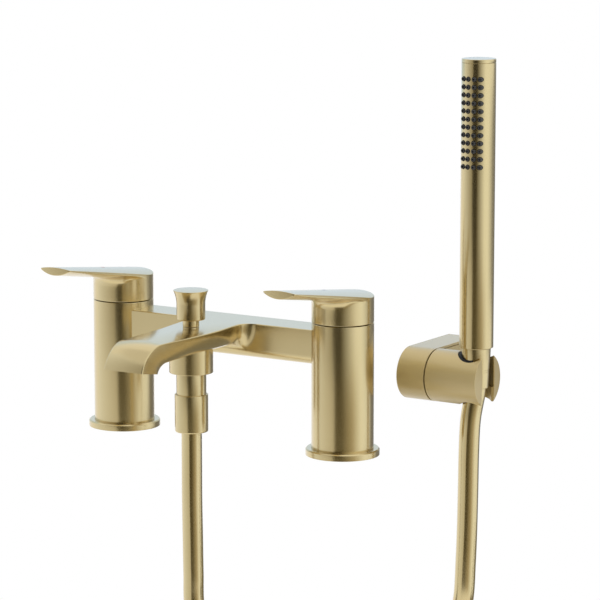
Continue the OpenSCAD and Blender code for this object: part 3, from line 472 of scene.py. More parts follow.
# Bridge and spout: one hollow brass casting, brushed along its length and lacquered.
# The bar's spigots are brazed into the pillars, and the spout grows out of its front with a soft fillet.
bridge_d = 26.6
bridge_h = 24.0
bridge_round = 6.5
edge_r = 0.8
spout_reach = 128.0
spout_tip_w = 30.5
spout_root_w = 40.0
taper_start = 40.0
taper_end = 123.0
spout_thick = 15.0
spout_crown = 1.2
crown_run = 50.0
side_fillet = 10.0
under_fillet = 4.0
belly_round = 9.0
nose_belly_round = 3.5
outlet_belly_round = 1.0
nose_r = 24.3
nose_angle = math.radians(73)
inner_r = 16.0
inner_angle = math.radians(50)
outlet_depth = 20.2
boss_r = 14.8
boss_h = 15.4
root_in = 4.0
bar_short = 12.0
boss_in = 3.0
left_axis = span("left_pillar")[2]
right_axis = span("right_pillar")[2]
pillar_r = span("left_pillar")[1].x - left_axis.x
bridge_top = span("bridge_spout")[1].z
bridge_front = bridge_d / 2
spout_under = bridge_top - spout_thick
boss_low = spout_under - boss_h
edge_steps = 4
round_steps = 14
belly_steps = 16
crown_shares = (0.1, 0.28, 0.46, 0.64, 0.82)
nose_start = spout_reach - nose_r * math.sin(nose_angle)
inner_start = spout_reach - outlet_depth - inner_r * math.sin(inner_angle)
lean_start = -outlet_axis.y + boss_r


def arc(centre, radius, start, stop, steps):
    """Points of an arc of a circle, from one angle to another in degrees."""
    angles = [math.radians(start + (stop - start) * k / steps) for k in range(steps + 1)]
    return [Vector(centre) + radius * Vector((math.cos(a), math.sin(a))) for a in angles]


def bridge_section():
    """The bar's section, front to back and up: crisp rounds on top and wide rounds below."""
    edge_z = bridge_top - edge_r
    round_z = bridge_top - bridge_h + bridge_round
    return (
        arc((bridge_front - edge_r, edge_z), edge_r, 0, 90, edge_steps)
        + arc((edge_r - bridge_front, edge_z), edge_r, 90, 180, edge_steps)
        + arc((bridge_round - bridge_front, round_z), bridge_round, 180, 270, round_steps)
        + arc((bridge_front - bridge_round, round_z), bridge_round, 270, 360, round_steps)
    )


def spout_half_w(f):
    """Half the spout's width at a distance in front of the bridge's centre line."""
    share = min(1.0, max(0.0, (f - taper_start) / (taper_end - taper_start)))
    into = max(0.0, bridge_front + side_fillet - f)
    flare = side_fillet - math.sqrt(max(0.0, side_fillet ** 2 - into ** 2))
    return (spout_root_w + (spout_tip_w - spout_root_w) * share) / 2 + flare


def spout_ring(top, under, half_w, crown, belly):
    """A section between a top and an under point, forward and up: crowned above and round below."""
    depth = (under - top).length
    down = (under - top) / depth
    low = crown + edge_r
    half = [((half_w - edge_r) * share, crown * share ** 2) for share in crown_shares]
    for k in range(edge_steps + 1):
        a = math.pi / 2 * k / edge_steps
        half.append((half_w - edge_r * (1 - math.sin(a)), low - edge_r * math.cos(a)))
    for k in range(1, belly_steps + 1):
        a = math.pi / 2 * k / belly_steps
        half.append((half_w - belly * (1 - math.cos(a)), low + (depth - low) * math.sin(a)))
    outline = half + [(-x, d) for x, d in reversed(half)]
    return [Vector((x, -(top.x + down.x * d), top.y + down.y * d)) for x, d in outline]


def spout_flat_ring(f):
    share = max(0.0, f - lean_start) / (nose_start - lean_start)
    lean = share * (nose_start - inner_start)
    into = max(0.0, bridge_front + under_fillet - f)
    drop = under_fillet - math.sqrt(max(0.0, under_fillet ** 2 - into ** 2))
    rise = min(1.0, max(0.0, (f - bridge_front) / crown_run))
    crown = spout_crown * rise ** 2 * (3 - 2 * rise)
    belly = belly_round + share * (nose_belly_round - belly_round)
    top = Vector((f, bridge_top))
    under = Vector((f - lean, spout_under - drop))
    return spout_ring(top, under, spout_half_w(f), crown, belly)


def spout_nose_ring(share):
    a = nose_angle * share
    b = inner_angle * share
    top = Vector((nose_start + nose_r * math.sin(a), bridge_top - nose_r * (1 - math.cos(a))))
    under = Vector((inner_start + inner_r * math.sin(b), spout_under - inner_r * (1 - math.cos(b))))
    belly = nose_belly_round + share * (outlet_belly_round - nose_belly_round)
    return spout_ring(top, under, spout_half_w(top.x), spout_crown, belly)


flat_start = bridge_front + side_fillet
fillet_steps = 14
flat_steps = 26
nose_steps = 24
spout_rings = [[p + Vector((0.0, root_in, 0.0)) for p in spout_flat_ring(bridge_front)]]
for k in range(fillet_steps):
    swing = math.pi / 2 * (1 - k / fillet_steps)
    spout_rings.append(spout_flat_ring(flat_start - side_fillet * math.sin(swing)))
for k in range(flat_steps + 1):
    spout_rings.append(spout_flat_ring(flat_start + (nose_start - flat_start) * k / flat_steps))
for k in range(1, nose_steps + 1):
    spout_rings.append(spout_nose_ring(k / nose_steps))

bar_end = right_axis.x - bar_short
bar_section = bridge_section()
bar_rings = [[Vector((x, p.x, p.y)) for p in bar_section] for x in (-bar_end, bar_end)]
boss_top = spout_under + boss_in
boss_outline = [(0, boss_low), (boss_r, boss_low, 0.5), (boss_r, boss_top), (0, boss_top)]


def combined(base, others, operation):
    """The base mesh joined to, or cut by, the other meshes, each a closed skin."""
    target = loose("work", base)
    tools = [loose("tool", mesh) for mesh in others]
    for tool in tools:
        step = target.modifiers.new("step", "BOOLEAN")
        step.operation = operation
        step.solver = "EXACT"
        step.object = tool
    ready = target.evaluated_get(bpy.context.evaluated_depsgraph_get())
    skin = bmesh.new()
    skin.from_mesh(bpy.data.meshes.new_from_object(ready))
    for made in [target, *tools]:
        bpy.data.objects.remove(made)
    bmesh.ops.remove_doubles(skin, verts=skin.verts, dist=1e-6)
    return to_mesh(base.name, skin)


hole_sides = 96
past = 5.0


def rod(radius, start, end, axis, pose=UPRIGHT):
    """A plain cutter for a round hole. Cutters run a little past the faces that they open."""
    outline = [(0, start), (radius, start), (radius, end), (0, end)]
    return turned("cutter", outline, axis, pose, hole_sides, loop=False)


nose_tip = Vector((spout_reach, bridge_top - nose_r * (1 - math.cos(nose_angle))))
nose_heel = Vector((spout_reach - outlet_depth, spout_under - inner_r * (1 - math.cos(inner_angle))))
outlet_lean = math.atan2(nose_tip.y - nose_heel.y, nose_tip.x - nose_heel.x)
outlet_share = 0.44
outlet_mid = nose_heel + (nose_tip - nose_heel) * outlet_share
outlet_place = Vector((0.0, -outlet_mid.x, outlet_mid.y))
outlet_pose = Matrix.Rotation(-outlet_lean, 3, "X")
straightener_r = 6.55
straightener_depth = 5.5
collar_r = 5.65
collar_depth = 5.0
casting = combined(
    lofted("bridge_and_spout", bar_rings),
    [lofted("spout", spout_rings), turned("boss", boss_outline, outlet_axis, loop=False)],
    "UNION",
)
casting = combined(casting, [
    rod(pillar_r + flange_fit, 0.0, bridge_top + past, left_axis),
    rod(pillar_r + flange_fit, 0.0, bridge_top + past, right_axis),
    rod(collar_r, bridge_top - collar_depth, bridge_top + past, outlet_axis),
    rod(straightener_r, -past, straightener_depth, outlet_place, outlet_pose),
], "DIFFERENCE")
GRAIN_ALONG_X = (30.0, 620.0, 620.0)
brass_bridge = satin_brass("satin_brass_bridge", GRAIN_ALONG_X)
bridge = piece("bridge_and_spout", casting, brass_bridge, "satin_brass", "bridge_spout", body="mixer")


def keep_flats_flat(made):
    """Weights the normals by face, so that wide flats stay flat beside narrow rounds."""
    flats = made.modifiers.new("flats", "WEIGHTED_NORMAL")
    flats.keep_sharp = True


keep_flats_flat(bridge)

# Flow straightener: a black moulded insert with a ring of holes that calms the jet.
# It clips into the outlet from below.
black_plastic = mottled(
    "black_plastic", 1500.0, (0.008, 0.008, 0.008), (0.018, 0.018, 0.018), 0.38, 0.2,
    Specular_IOR_Level=0.15,
)
dress(black_plastic, "flow_straightener")

# Lever handles: brass castings with a crowned top and a thin blade, brushed towards the tip.
# Each is pressed on its spindle and held by a grub screw at the back.
lever_reach = 80.0
lever_tip_w = 25.0
lever_edge_h = 17.9
lever_rise = math.radians(7.4)
crown_r = 64.0
lever_tip_h = 5.6
under_slope = math.radians(9.0)
under_r = 85.0
tip_under_r = 21.0
lever_blend = 6.5
lever_round = 0.45
lever_corner = 1.6
hollow_r = 17.0
hollow_h = 6.9
socket_h = 7.0
spindle_r = 4.05
grub_r = 2.05
grub_start = 4.0
blade_run = 4.0
blend_share = 0.6
cap_settle = 0.5
wall_share = 0.9
wall_least = 0.5
top_shares = (0.1, 0.2, 0.32, 0.44, 0.56, 0.68, 0.8, 0.9, 0.96)
tip_steps = 9
side_steps = 30
cap_steps = 36
cap_r = pillar_r
lever_low = span("left_lever")[0].z
crest = lever_low + lever_edge_h + crown_r - math.sqrt(crown_r ** 2 - cap_r ** 2)
under_axis = crest + lever_reach * (math.tan(lever_rise) - math.tan(under_slope)) - lever_tip_h


def lever_top(p):
    """Height of the crowned top above a point of the plan, which is across and forward."""
    sag = (crown_r - math.sqrt(crown_r ** 2 - p.x ** 2)) / math.cos(lever_rise)
    return crest + p.y * math.tan(lever_rise) - sag


def lever_under(p):
    """Height of the blade's underside, which is round at every section and tightest at the tip."""
    r = under_r + (tip_under_r - under_r) * p.y / lever_reach
    return under_axis + p.y * math.tan(under_slope) + r - math.sqrt(r ** 2 - p.x ** 2)


def lever_plan():
    """The lever's outline from above: a round cap and two straight sides out to a curved tip."""
    corner = Vector((lever_tip_w / 2, lever_reach))
    touch = math.atan2(corner.y, corner.x) - math.acos(cap_r / corner.length)
    root = cap_r * Vector((math.cos(touch), math.sin(touch)))
    tip_turn = math.asin(lever_tip_w / 2 / lever_reach)
    tip = lever_reach * Vector((math.sin(tip_turn), math.cos(tip_turn)))
    inset = lever_corner / lever_reach
    on_arc = lever_reach * Vector((math.sin(tip_turn - inset), math.cos(tip_turn - inset)))
    on_side = tip + (root - tip).normalized() * lever_corner
    tip_turns = [(tip_turn - inset) * k / tip_steps for k in range(tip_steps)]
    half = [lever_reach * Vector((math.sin(a), math.cos(a))) for a in tip_turns]
    half += bezier(on_arc, tip, on_side, corner_steps)
    half += [on_side.lerp(root, k / side_steps) for k in range(1, side_steps + 1)]
    cap_turns = [touch - (math.pi / 2 + touch) * k / cap_steps for k in range(1, cap_steps + 1)]
    half += [cap_r * Vector((math.cos(a), math.sin(a))) for a in cap_turns]
    return half + [Vector((-p.x, p.y)) for p in reversed(half[1:-1])]


def lever_column(edge):
    """The lever's section from its axis out to one point of the plan, as (distance, height)."""
    far = edge.length
    along = edge / far
    blade = min(1.0, (far - cap_r) / blade_run)
    blend = min(lever_blend, blend_share * (far - cap_r))

    def top(d):
        return Vector((d, lever_top(along * d)))

    def under(d):
        return Vector((d, lever_under(along * d)))

    drop = Vector((0.0, lever_round))
    rim = top(far)
    lip = under(far)
    column = [top((far - lever_round) * t) for t in top_shares]
    column += bezier(top(far - lever_round), rim, rim - drop, 4)
    column += [(rim - drop).lerp(lip + drop, k / 4) for k in range(1, 4)]
    lip_in = under(far - lever_round * blade) - drop * (1 - blade)
    column += bezier(lip + drop, lip, lip_in, 4)
    settle = Vector((0.0, cap_settle * (1 - blade)))
    root_out = under(cap_r + blend) - drop * (1 - blade) - settle
    for k in range(1, 7):
        d = lip_in.x + (root_out.x - lip_in.x) * k / 7
        column.append(under(d) - drop * (1 - blade) - settle * (k / 7))
    wall = under(cap_r) - drop * (1 - blade) - settle
    column += bezier(root_out, wall, wall - Vector((0.0, wall_share * blend + wall_least)), 8)
    foot = Vector((cap_r, lever_low))
    column += [column[-1].lerp(foot + drop, k / 3) for k in (1, 2)]
    column += bezier(foot + drop, foot, foot - Vector((lever_round, 0.0)), 4)
    socket = lever_low + hollow_h
    column += [Vector(p) for p in (
        (hollow_r, lever_low), (hollow_r, socket), (spindle_r, socket), (spindle_r, socket + socket_h),
    )]
    return [(along.x * p.x, -along.y * p.x, p.y) for p in column]


lever_columns = [lever_column(p) for p in lever_plan()]
lever_rings = [list(ring) for ring in zip(*lever_columns)]
lever_poles = ([(0.0, 0.0, crest)], [(0.0, 0.0, lever_low + hollow_h + socket_h)])
BLADE_GRAIN = (620.0, 30.0, 620.0)
brass_blade = satin_brass("satin_brass_blade", BLADE_GRAIN)
grub_pose = Matrix.Rotation(-math.pi / 2, 3, "X")
grub_lift = Vector((0.0, 0.0, lever_low + hollow_h + socket_h / 2))
for side, axis in (("left", left_axis), ("right", right_axis)):
    name = side + "_handle_lever"
    skins = (lever_poles[0], *lever_rings, lever_poles[1])
    rings = [[axis + Vector(p) for p in ring] for ring in skins]
    hole = rod(grub_r, grub_start, cap_r + past, axis + grub_lift, grub_pose)
    handle = combined(lofted(name, rings), [hole], "DIFFERENCE")
    made = piece(name, handle, brass_blade, "satin_brass", side + "_lever", body=side + "_handle")
    keep_flats_flat(made)

steel = mottled(
    "bright_steel", (240.0, 240.0, 1800.0), (0.5, 0.5, 0.5), (0.66, 0.67, 0.68), 0.2, 0.18, Metallic=1.0
)
dress(steel, "left_grub_screw", "right_grub_screw")

# Index dots: drops of red and blue enamel in small pockets on the levers' crests.
# They mark the hot and the cold side.
for node, dark, light in (
    ("hot_index", (0.42, 0.03, 0.025, 1.0), (0.55, 0.05, 0.04, 1.0)),
    ("cold_index", (0.03, 0.08, 0.28, 1.0), (0.05, 0.13, 0.40, 1.0)),
):
    enamel, shader, place = new_finish(node + "_enamel", Roughness=0.4, Specular_IOR_Level=0.15)
    place.feed(shader.inputs["Base Color"], noise(place, 900.0).between(dark, light))
    dress(enamel, node)

# Diverter: a turned brass knob on a steel stem that is pulled up to send water to the handset.
# A brass collar guides the stem, and a piston with two rubber seals closes one way or the other.
low, high, axis = span("diverter_knob")
knob_neck_r = 5.6
knob_neck_h = 4.8
knob_waist_r = 9.7
knob_flare_h = 9.6
knob_base = low.z + knob_neck_h
knob_top_r = high.x - axis.x
flare = knob_top_r - knob_waist_r
flare_r = (knob_flare_h ** 2 + flare ** 2) / (2 * flare)
flare_turn = math.degrees(math.asin(knob_flare_h / flare_r))
flare_mid = (knob_waist_r + flare_r, high.z - knob_flare_h)
flare_points = arc(flare_mid, flare_r, 180, 180 - flare_turn, round_steps)
knob = turned("diverter_pull", [
    (0, low.z), (knob_neck_r, low.z, 0.25), (knob_neck_r, knob_base), (knob_waist_r, knob_base, 0.8),
    *[tuple(p) for p in flare_points[:-1]], (knob_top_r, high.z, 0.35), (0, high.z),
], axis, loop=False)
piece("diverter_pull", knob, brass_turned, "satin_brass", "diverter_knob", body="diverter")
low, high, axis = span("diverter_bonnet")
stem_hole_r = 2.55
collar_out_r = high.x - axis.x
collar = turned("diverter_collar", [
    (stem_hole_r, low.z), (collar_out_r, low.z), (collar_out_r, high.z, 0.25), (stem_hole_r, high.z),
], axis)
piece("diverter_collar", collar, brass_turned, "satin_brass", "diverter_bonnet", body="mixer")
low, high, axis = span("diverter_spring")
spring_wire_r = 0.4
spring_sides = 10
spring_coils = 4
spring_steps = turn_points * spring_coils
spring_r = high.x - axis.x - spring_wire_r
spring_rise = high.z - low.z - 2 * spring_wire_r
spring_path = []
for k in range(spring_steps + 1):
    share = k / spring_steps
    turn = 2 * math.pi * spring_coils * share
    lift = low.z + spring_wire_r + spring_rise * share
    spring_path.append(axis + Vector((spring_r * math.cos(turn), spring_r * math.sin(turn), lift)))
spring_mesh = lofted("return_spring", tube_rings(spring_path, spring_wire_r, spring_sides))
spring = piece("return_spring", spring_mesh, steel, "steel", "diverter_spring", body="mixer")
pull = next(joint for joint in frame["joints"] if joint["name"] == "diverter_pull")
pull_travel = pull["range_m"][1] / MM
1 - pull_travel / (high.z - low.z)
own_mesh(spring)
dress(steel, "diverter_stem")
dress(bare_brass, "diverter_piston")
dress(rubber, "diverter_seals")

# Shower outlet: a brass tube screwed into the boss, with a plastic non-return valve inside.
# A turned brass nut holds the hose's ferrule against a rubber washer.
low, high, axis = span("shower_outlet")
spigot_r = 8.95
outlet_r = 10.1
outlet_bore_r = 6.0
outlet_tube = turned("outlet_tube", [
    (outlet_bore_r, low.z), (outlet_r, low.z, 0.3), (outlet_r, boss_low, 0.1), (spigot_r, boss_low),
    (spigot_r, high.z), (outlet_bore_r, high.z),
], axis)
piece("outlet_tube", outlet_tube, brass_turned, "satin_brass", "shower_outlet", body="mixer")

white_plastic = mottled("white_plastic", 500.0, (0.66, 0.66, 0.63), (0.74, 0.74, 0.72), 0.35, 0.15)
dress(white_plastic, "check_valve")

low, high, axis = span("mixer_hose_nut")
nut_r = high.x - axis.x
nut_wall = 4.0
nut_inner_r = 9.55
hose_hole_r = hose_d / 2 + flange_fit
nut_mouth_r = outlet_r + flange_fit
nut_floor = low.z + nut_wall
nut = turned("hose_nut", [
    (hose_hole_r, low.z, 0.3), (nut_r, low.z, 1.1), (nut_r, high.z, 0.45), (nut_mouth_r, high.z, 0.35),
    (nut_mouth_r, outlet_low.z), (nut_inner_r, outlet_low.z), (nut_inner_r, nut_floor),
    (hose_hole_r, nut_floor),
], axis)
piece("hose_nut", nut, brass_turned, "satin_brass", "mixer_hose_nut", body="mixer")
dress(rubber, "mixer_hose_washer")
dress(bare_brass, "mixer_hose_ferrule")

# Wall bracket: a brass cover, round in front, over an arm that a steel wall plate carries.
# The cover slips over the arm, and a grub screw below holds the arm on the plate's boss.
low, high, axis = span("bracket_cover")
cover_r = (high.z - low.z) / 2
cover_wall = 2.0
pivot = Vector((0.0, low.y + cover_r, (low.z + high.z) / 2))
cover_end = high.x + past
bracket_back = high.y - pivot.y
hollow_back = bracket_back + past
hollow_out_r = cover_r - cover_wall
arm_steps = 72
end_steps = 5
cover_round = 0.7
seam = 0.4
seam_depth = 1.5
seam_ease = 0.2


def arm_outline(radius, back):
    """The arm's section, back and up from the pivot: a round front and flat sides to the wall."""
    wall_side = [Vector((back, -radius)), Vector((back, radius))]
    return arc((0.0, 0.0), radius, 90, 270, arm_steps) + wall_side


def arm_ring(x, inset, radius, back):
    return [pivot + Vector((x, p.x, p.y)) for p in arm_outline(radius - inset, back)]


def arm_block(name, x0, x1, radius, back, near_round=0.0, far_round=0.0):
    """A block along X whose two ends are rounded, or square where a round is 0."""
    angles = [math.pi / 2 * k / end_steps for k in range(end_steps + 1)]
    bends = [(1 - math.sin(a), 1 - math.cos(a)) for a in angles]
    near = [(x0 + near_round * along, near_round * inset) for along, inset in reversed(bends)]
    far = [(x1 - far_round * along, far_round * inset) for along, inset in bends]
    ends = (near if near_round else near[:1]) + (far if far_round else far[:1])
    return lofted(name, [arm_ring(x, inset, radius, back) for x, inset in ends])


arm_low, arm_high, _ = span("bracket_arm")
arm_r = (arm_high.z - arm_low.z) / 2
arm_back = arm_high.y - pivot.y
cover_mesh = combined(
    arm_block("bracket_shell", low.x, high.x - seam_ease, cover_r, bracket_back, cover_round, 0.2),
    [
        arm_block("hollow", low.x + cover_wall, cover_end, hollow_out_r, hollow_back),
        arm_block("lip", high.x - seam_depth, cover_end, hollow_out_r + seam, hollow_back),
    ],
    "DIFFERENCE",
)
BRACKET_DEEP = (0.545, 0.42, 0.178, 1.0)
BRACKET_PALE = (0.575, 0.44, 0.193, 1.0)
brass_bracket = satin_brass(
    "satin_brass_bracket", GRAIN_ALONG_X, rough=0.5, deep=BRACKET_DEEP, pale=BRACKET_PALE,
    metallic=0.6, coat=1.0,
)
cover = piece("bracket_shell", cover_mesh, brass_bracket, "satin_brass", "bracket_cover", body="mixer")
keep_flats_flat(cover)
arm_mesh = arm_block("bracket_core", arm_low.x, arm_high.x, arm_r, arm_back, 0.2, 0.3)
core = piece("bracket_core", arm_mesh, brass_bracket, "satin_brass", "bracket_arm", body="mixer")
keep_flats_flat(core)
dress(steel, "bracket_wall_plate", "bracket_grub_screw")

# Swivel holder: a short brass bar bored for the handset, slotted for the hose and lined with plastic.
# It turns on a steel pivot bolt, against a thin friction washer at the arm.
low, high, axis = span("holder")
holder_r = (high.z - low.z) / 2
bore_r = 12.2
ledge_w = 1.0
ledge_z = span("holder_liner")[0].z - flange_fit
slot_w = 17.0
along_pivot = Vector((0.0, pivot.y, pivot.z))
end_ease = 0.3
end_rim = high.x - end_ease
end_crown = 0.9
end_shares = (0.93, 0.8, 0.65, 0.5, 0.35, 0.18, 0.0)
holder_bar = turned("swivel_holder", [
    (0, low.x + seam_ease), (holder_r, low.x + seam_ease, 0.2), (holder_r, end_rim, 0.4),
    *[(holder_r * share, end_rim + end_crown * (1 - share ** 2)) for share in end_shares],
], along_pivot, ALONG_X, loop=False)
slot_low = low.z - past
slot_high = high.z + past
slot_end = high.x + past


def slot_block(name, start, half_w):
    """A cutter for a slot through the bar, open at the bar's far end."""
    corners = ((-half_w, slot_low), (half_w, slot_low), (half_w, slot_high), (-half_w, slot_high))
    return lofted(name, [[Vector((x, pivot.y + y, z)) for y, z in corners] for x in (start, slot_end)])


holder_mesh = combined(holder_bar, [
    slot_block("slot", handset_axis.x, slot_w / 2),
    rod(bore_r, ledge_z, slot_high, handset_axis),
    rod(bore_r - ledge_w, slot_low, ledge_z + ledge_w, handset_axis),
], "DIFFERENCE")
holder = piece(
    "swivel_holder", holder_mesh, brass_bracket, "satin_brass", "holder", body="bracket_holder"
)
keep_flats_flat(holder)
nut_low, nut_high, _ = span("handset_nut")
cone_low_r = 8.7
cone_top_r = 9.9
cone_gap = 0.3
liner_step = 0.6
liner_reach = 3.0
liner_out_r = holder_r - liner_step
liner_bar = turned("liner_bar", [
    (0, low.x), (liner_out_r, low.x), (liner_out_r, high.x), (0, high.x),
], along_pivot, ALONG_X, loop=False)
liner_cone = turned("liner_cone", [
    (0, nut_low.z), (cone_low_r + cone_gap, nut_low.z), (cone_top_r + cone_gap, nut_high.z),
    (0, nut_high.z),
], handset_axis, loop=False)
liner_plug = rod(bore_r - flange_fit, ledge_z + flange_fit, high.z, handset_axis)
liner_mesh = combined(liner_plug, [liner_bar], "INTERSECT")
open_side = slot_block("open_side", handset_axis.x + liner_reach, slot_w)
liner_mesh = combined(liner_mesh, [liner_cone, open_side], "DIFFERENCE")
piece("bore_liner", liner_mesh, black_plastic, "black_plastic", "holder_liner", body="bracket_holder")
dress(black_plastic, "friction_washer")
dress(steel, "pivot_bolt", "pivot_spring_washer")

# Handset: a brass tube with a turned cap, and a conical nut that takes the hose.
# Black silicone nozzles are moulded on a mat inside, and push out through holes in the tube.
low, high, axis = span("handset_tube")
tube_r = high.x - axis.x
tube_wall = 1.5
tube_bore_r = tube_r - tube_wall
nozzle_rows = 12
nozzle_columns = 4
nozzle_step = math.radians(21.5)
nozzle_facing = math.radians(3.0)
nozzle_root_r = 1.75
nozzle_tip_r = 1.4
nozzle_taper_h = 2.4
nozzle_proud = 1.2
nozzle_hole_r = 0.55
nozzle_hole_depth = 1.5
nozzle_start = 2.0
nozzle_past = 2.0
stud_sides = 24
mat_margin = 5.0
mat_low, mat_high, _ = span("nozzle_mat")
nozzle_pitch = (mat_high.z - mat_low.z - 2 * mat_margin) / (nozzle_rows - 1)
facing_turn = Matrix.Rotation(nozzle_facing, 3, "Z")
facing_out = facing_turn @ Matrix.Rotation(math.pi / 2, 3, "X")


def gathered(name, meshes):
    """One mesh of several separate skins."""
    skin = bmesh.new()
    for mesh in meshes:
        skin.from_mesh(mesh)
    return to_mesh(name, skin)


def at_nozzles(make):
    """One mesh of a shape made for each nozzle, from its foot in the tube and its way to the surface."""
    shapes = []
    for column in range(nozzle_columns):
        offset = tube_r * math.sin((column - (nozzle_columns - 1) / 2) * nozzle_step)
        surface = math.sqrt(tube_r ** 2 - offset ** 2)
        foot = handset_axis + facing_turn @ Vector((offset, 0.0, 0.0))
        for row in range(nozzle_rows):
            lift = Vector((0.0, 0.0, mat_high.z - mat_margin - row * nozzle_pitch))
            shapes.append(make(foot + lift, surface))
    return gathered("nozzle_shapes", shapes)


def nozzle_opening(foot, surface):
    return rod(nozzle_root_r + flange_fit, nozzle_start, surface + nozzle_past, foot, facing_out)


def nozzle_stud(foot, surface):
    """A tapered stud with a rounded rim and a small hole. All the studs point the same way."""
    tip = surface + nozzle_proud
    hole = tip - nozzle_hole_depth
    return turned("nozzle_stud", [
        (0, nozzle_start), (nozzle_root_r, nozzle_start), (nozzle_root_r, tip - nozzle_taper_h),
        (nozzle_tip_r, tip, 0.4), (nozzle_hole_r, tip, 0.1), (nozzle_hole_r, hole), (0, hole),
    ], foot, facing_out, stud_sides, loop=False)


tube = turned("handset_barrel", [
    (tube_bore_r, low.z), (tube_r, low.z, 0.45), (tube_r, high.z, 0.15), (tube_bore_r, high.z),
], axis)
tube = combined(tube, [at_nozzles(nozzle_opening)], "DIFFERENCE")
brass_barrel = satin_brass("satin_brass_barrel", TURNED_GRAIN, rough=0.2)
piece("handset_barrel", tube, brass_barrel, "satin_brass", "handset_tube", body="handset")
low, high, axis = span("handset_cap")
cap_h = 2.4
plug_r = tube_bore_r - flange_fit
cap_low = high.z - cap_h
cap = turned("handset_end_cap", [
    (0, low.z), (plug_r, low.z), (plug_r, cap_low), (tube_r, cap_low, 0.15), (tube_r, high.z, 0.5),
    (0, high.z),
], axis, loop=False)
piece("handset_end_cap", cap, brass_barrel, "satin_brass", "handset_cap", body="handset")
low, high, axis = span("handset_nut")
groove_lifts = (11.0, 12.5)
groove_depth = 0.35
groove_h = 0.55
cone_taper = (cone_top_r - cone_low_r) / (high.z - low.z)
cone_outline = [(hose_hole_r, low.z, 0.3), (cone_low_r, low.z, 0.5)]
for lift in groove_lifts:
    face = cone_low_r + cone_taper * lift
    groove_low = low.z + lift
    groove_high = low.z + (lift + groove_h)
    cone_outline += [
        (face, groove_low), (face - groove_depth, groove_low),
        (face - groove_depth, groove_high), (face, groove_high),
    ]
cone_outline += [(cone_top_r, high.z, 0.2), (hose_hole_r, high.z)]
cone = turned("handset_cone_nut", cone_outline, axis)
piece("handset_cone_nut", cone, brass_barrel, "satin_brass", "handset_nut", body="handset")
dress(bare_brass, "handset_tail", "handset_hose_ferrule")
dress(rubber, "handset_washer")
dress(white_plastic, "handset_waterway")

silicone = mottled(
    "black_silicone", 600.0, (0.026, 0.026, 0.026), (0.04, 0.04, 0.041), 0.34, 0.12, detail=3.0
)
mat_t = 1.25
mat_edge = math.radians(6.0)
mat_steps = 32
mat_half_angle = nozzle_columns / 2 * nozzle_step + mat_edge
mat_in_r = tube_bore_r - mat_t
mat_out_r = tube_bore_r - flange_fit
mat_rings = []
for k in range(mat_steps + 1):
    turn = mat_half_angle * (2 * k / mat_steps - 1)
    out = facing_turn @ Vector((math.sin(turn), -math.cos(turn), 0.0))
    mat_rings.append([handset_axis + out * r + Vector((0.0, 0.0, z)) for r, z in (
        (mat_in_r, mat_low.z), (mat_out_r, mat_low.z), (mat_out_r, mat_high.z), (mat_in_r, mat_high.z),
    )])
mat_core = rod(tube_bore_r - mat_t / 2, mat_low.z - past, mat_high.z + past, handset_axis)
studs = combined(at_nozzles(nozzle_stud), [mat_core], "DIFFERENCE")
nozzles = combined(lofted("nozzle_studs", mat_rings), [studs], "UNION")
piece("nozzle_studs", nozzles, silicone, "black_silicone", "nozzle_mat", body="handset")
green_plastic = mottled("green_plastic", 500.0, (0.07, 0.2, 0.1), (0.1, 0.27, 0.14), 0.35, 0.15)
dress(green_plastic, "flow_restrictor")

# Studio: a pale floor under the hose that fades into a white surround, one soft lamp above,
# and tall cards round the object that give the brushed metal something to mirror.
floor_z = cad_box[0].z
floor_r = 4.0
floor_sides = 64
floor_gap = 0.0005
shadow_r = 0.18
fade_r = 0.42
card_steps = 24
room = Vector((40.0, 0.0, 0.0)) * MM
camera_bearing = math.atan2(camera_place.x - room.x, -(camera_place.y - room.y))


def stage_mesh(name, vertices, faces, material):
    mesh = bpy.data.meshes.new(name)
    mesh.from_pydata(vertices, [], faces)
    mesh.materials.append(material)
    made = loose(name, mesh)
    return made


def stage_material(name):
    made = bpy.data.materials.new(name)
    made.use_nodes = True
    made.node_tree.nodes.clear()
    output = made.node_tree.nodes.new("ShaderNodeOutputMaterial")
    return made, Wire(made.node_tree), output


def card(name, start, stop, high, tone_start, tone_stop, low=None, distance=1.25, toe=0.55, lean=0.0):
    """A curved card from one bearing to another, in degrees to the right of the camera.
    Without a low edge it stands on the floor, and a toe runs in along the floor. Its top can lean in.
    Without a high edge it is the toe alone. Only reflections see it."""
    paint, wire, output = stage_material(name)
    across = wire.node("ShaderNodeAttribute", {"attribute_name": "across"}, out="Fac")
    tone = across.between(tone_start, tone_stop)
    glow = wire.node("ShaderNodeEmission", {}, {"Color": tone, "Strength": 1.0})
    wire.feed(output.inputs["Surface"], glow)
    foot = [(distance, low)] if low else [(toe, floor_z), (distance, floor_z)]
    profile = [*foot, (distance - lean, high)] if high else foot
    vertices = []
    for k in range(card_steps + 1):
        bearing = camera_bearing + math.radians(start + (stop - start) * k / card_steps)
        out = Vector((math.sin(bearing), -math.cos(bearing), 0.0))
        vertices += [room + reach * out + Vector((0.0, 0.0, height)) for reach, height in profile]
    rows = len(profile)
    faces = [(rows * k + i, rows * (k + 1) + i, rows * (k + 1) + i + 1, rows * k + i + 1)
             for k in range(card_steps) for i in range(rows - 1)]
    made = stage_mesh(name, vertices, faces, paint)
    shares = made.data.attributes.new("across", "FLOAT", "POINT")
    shares.data.foreach_set("value", [k // rows / card_steps for k in range(len(vertices))])
    made.visible_camera = False
    made.visible_diffuse = False
    made.visible_shadow = False


def grey(level):
    return (level, level, level, 1.0)


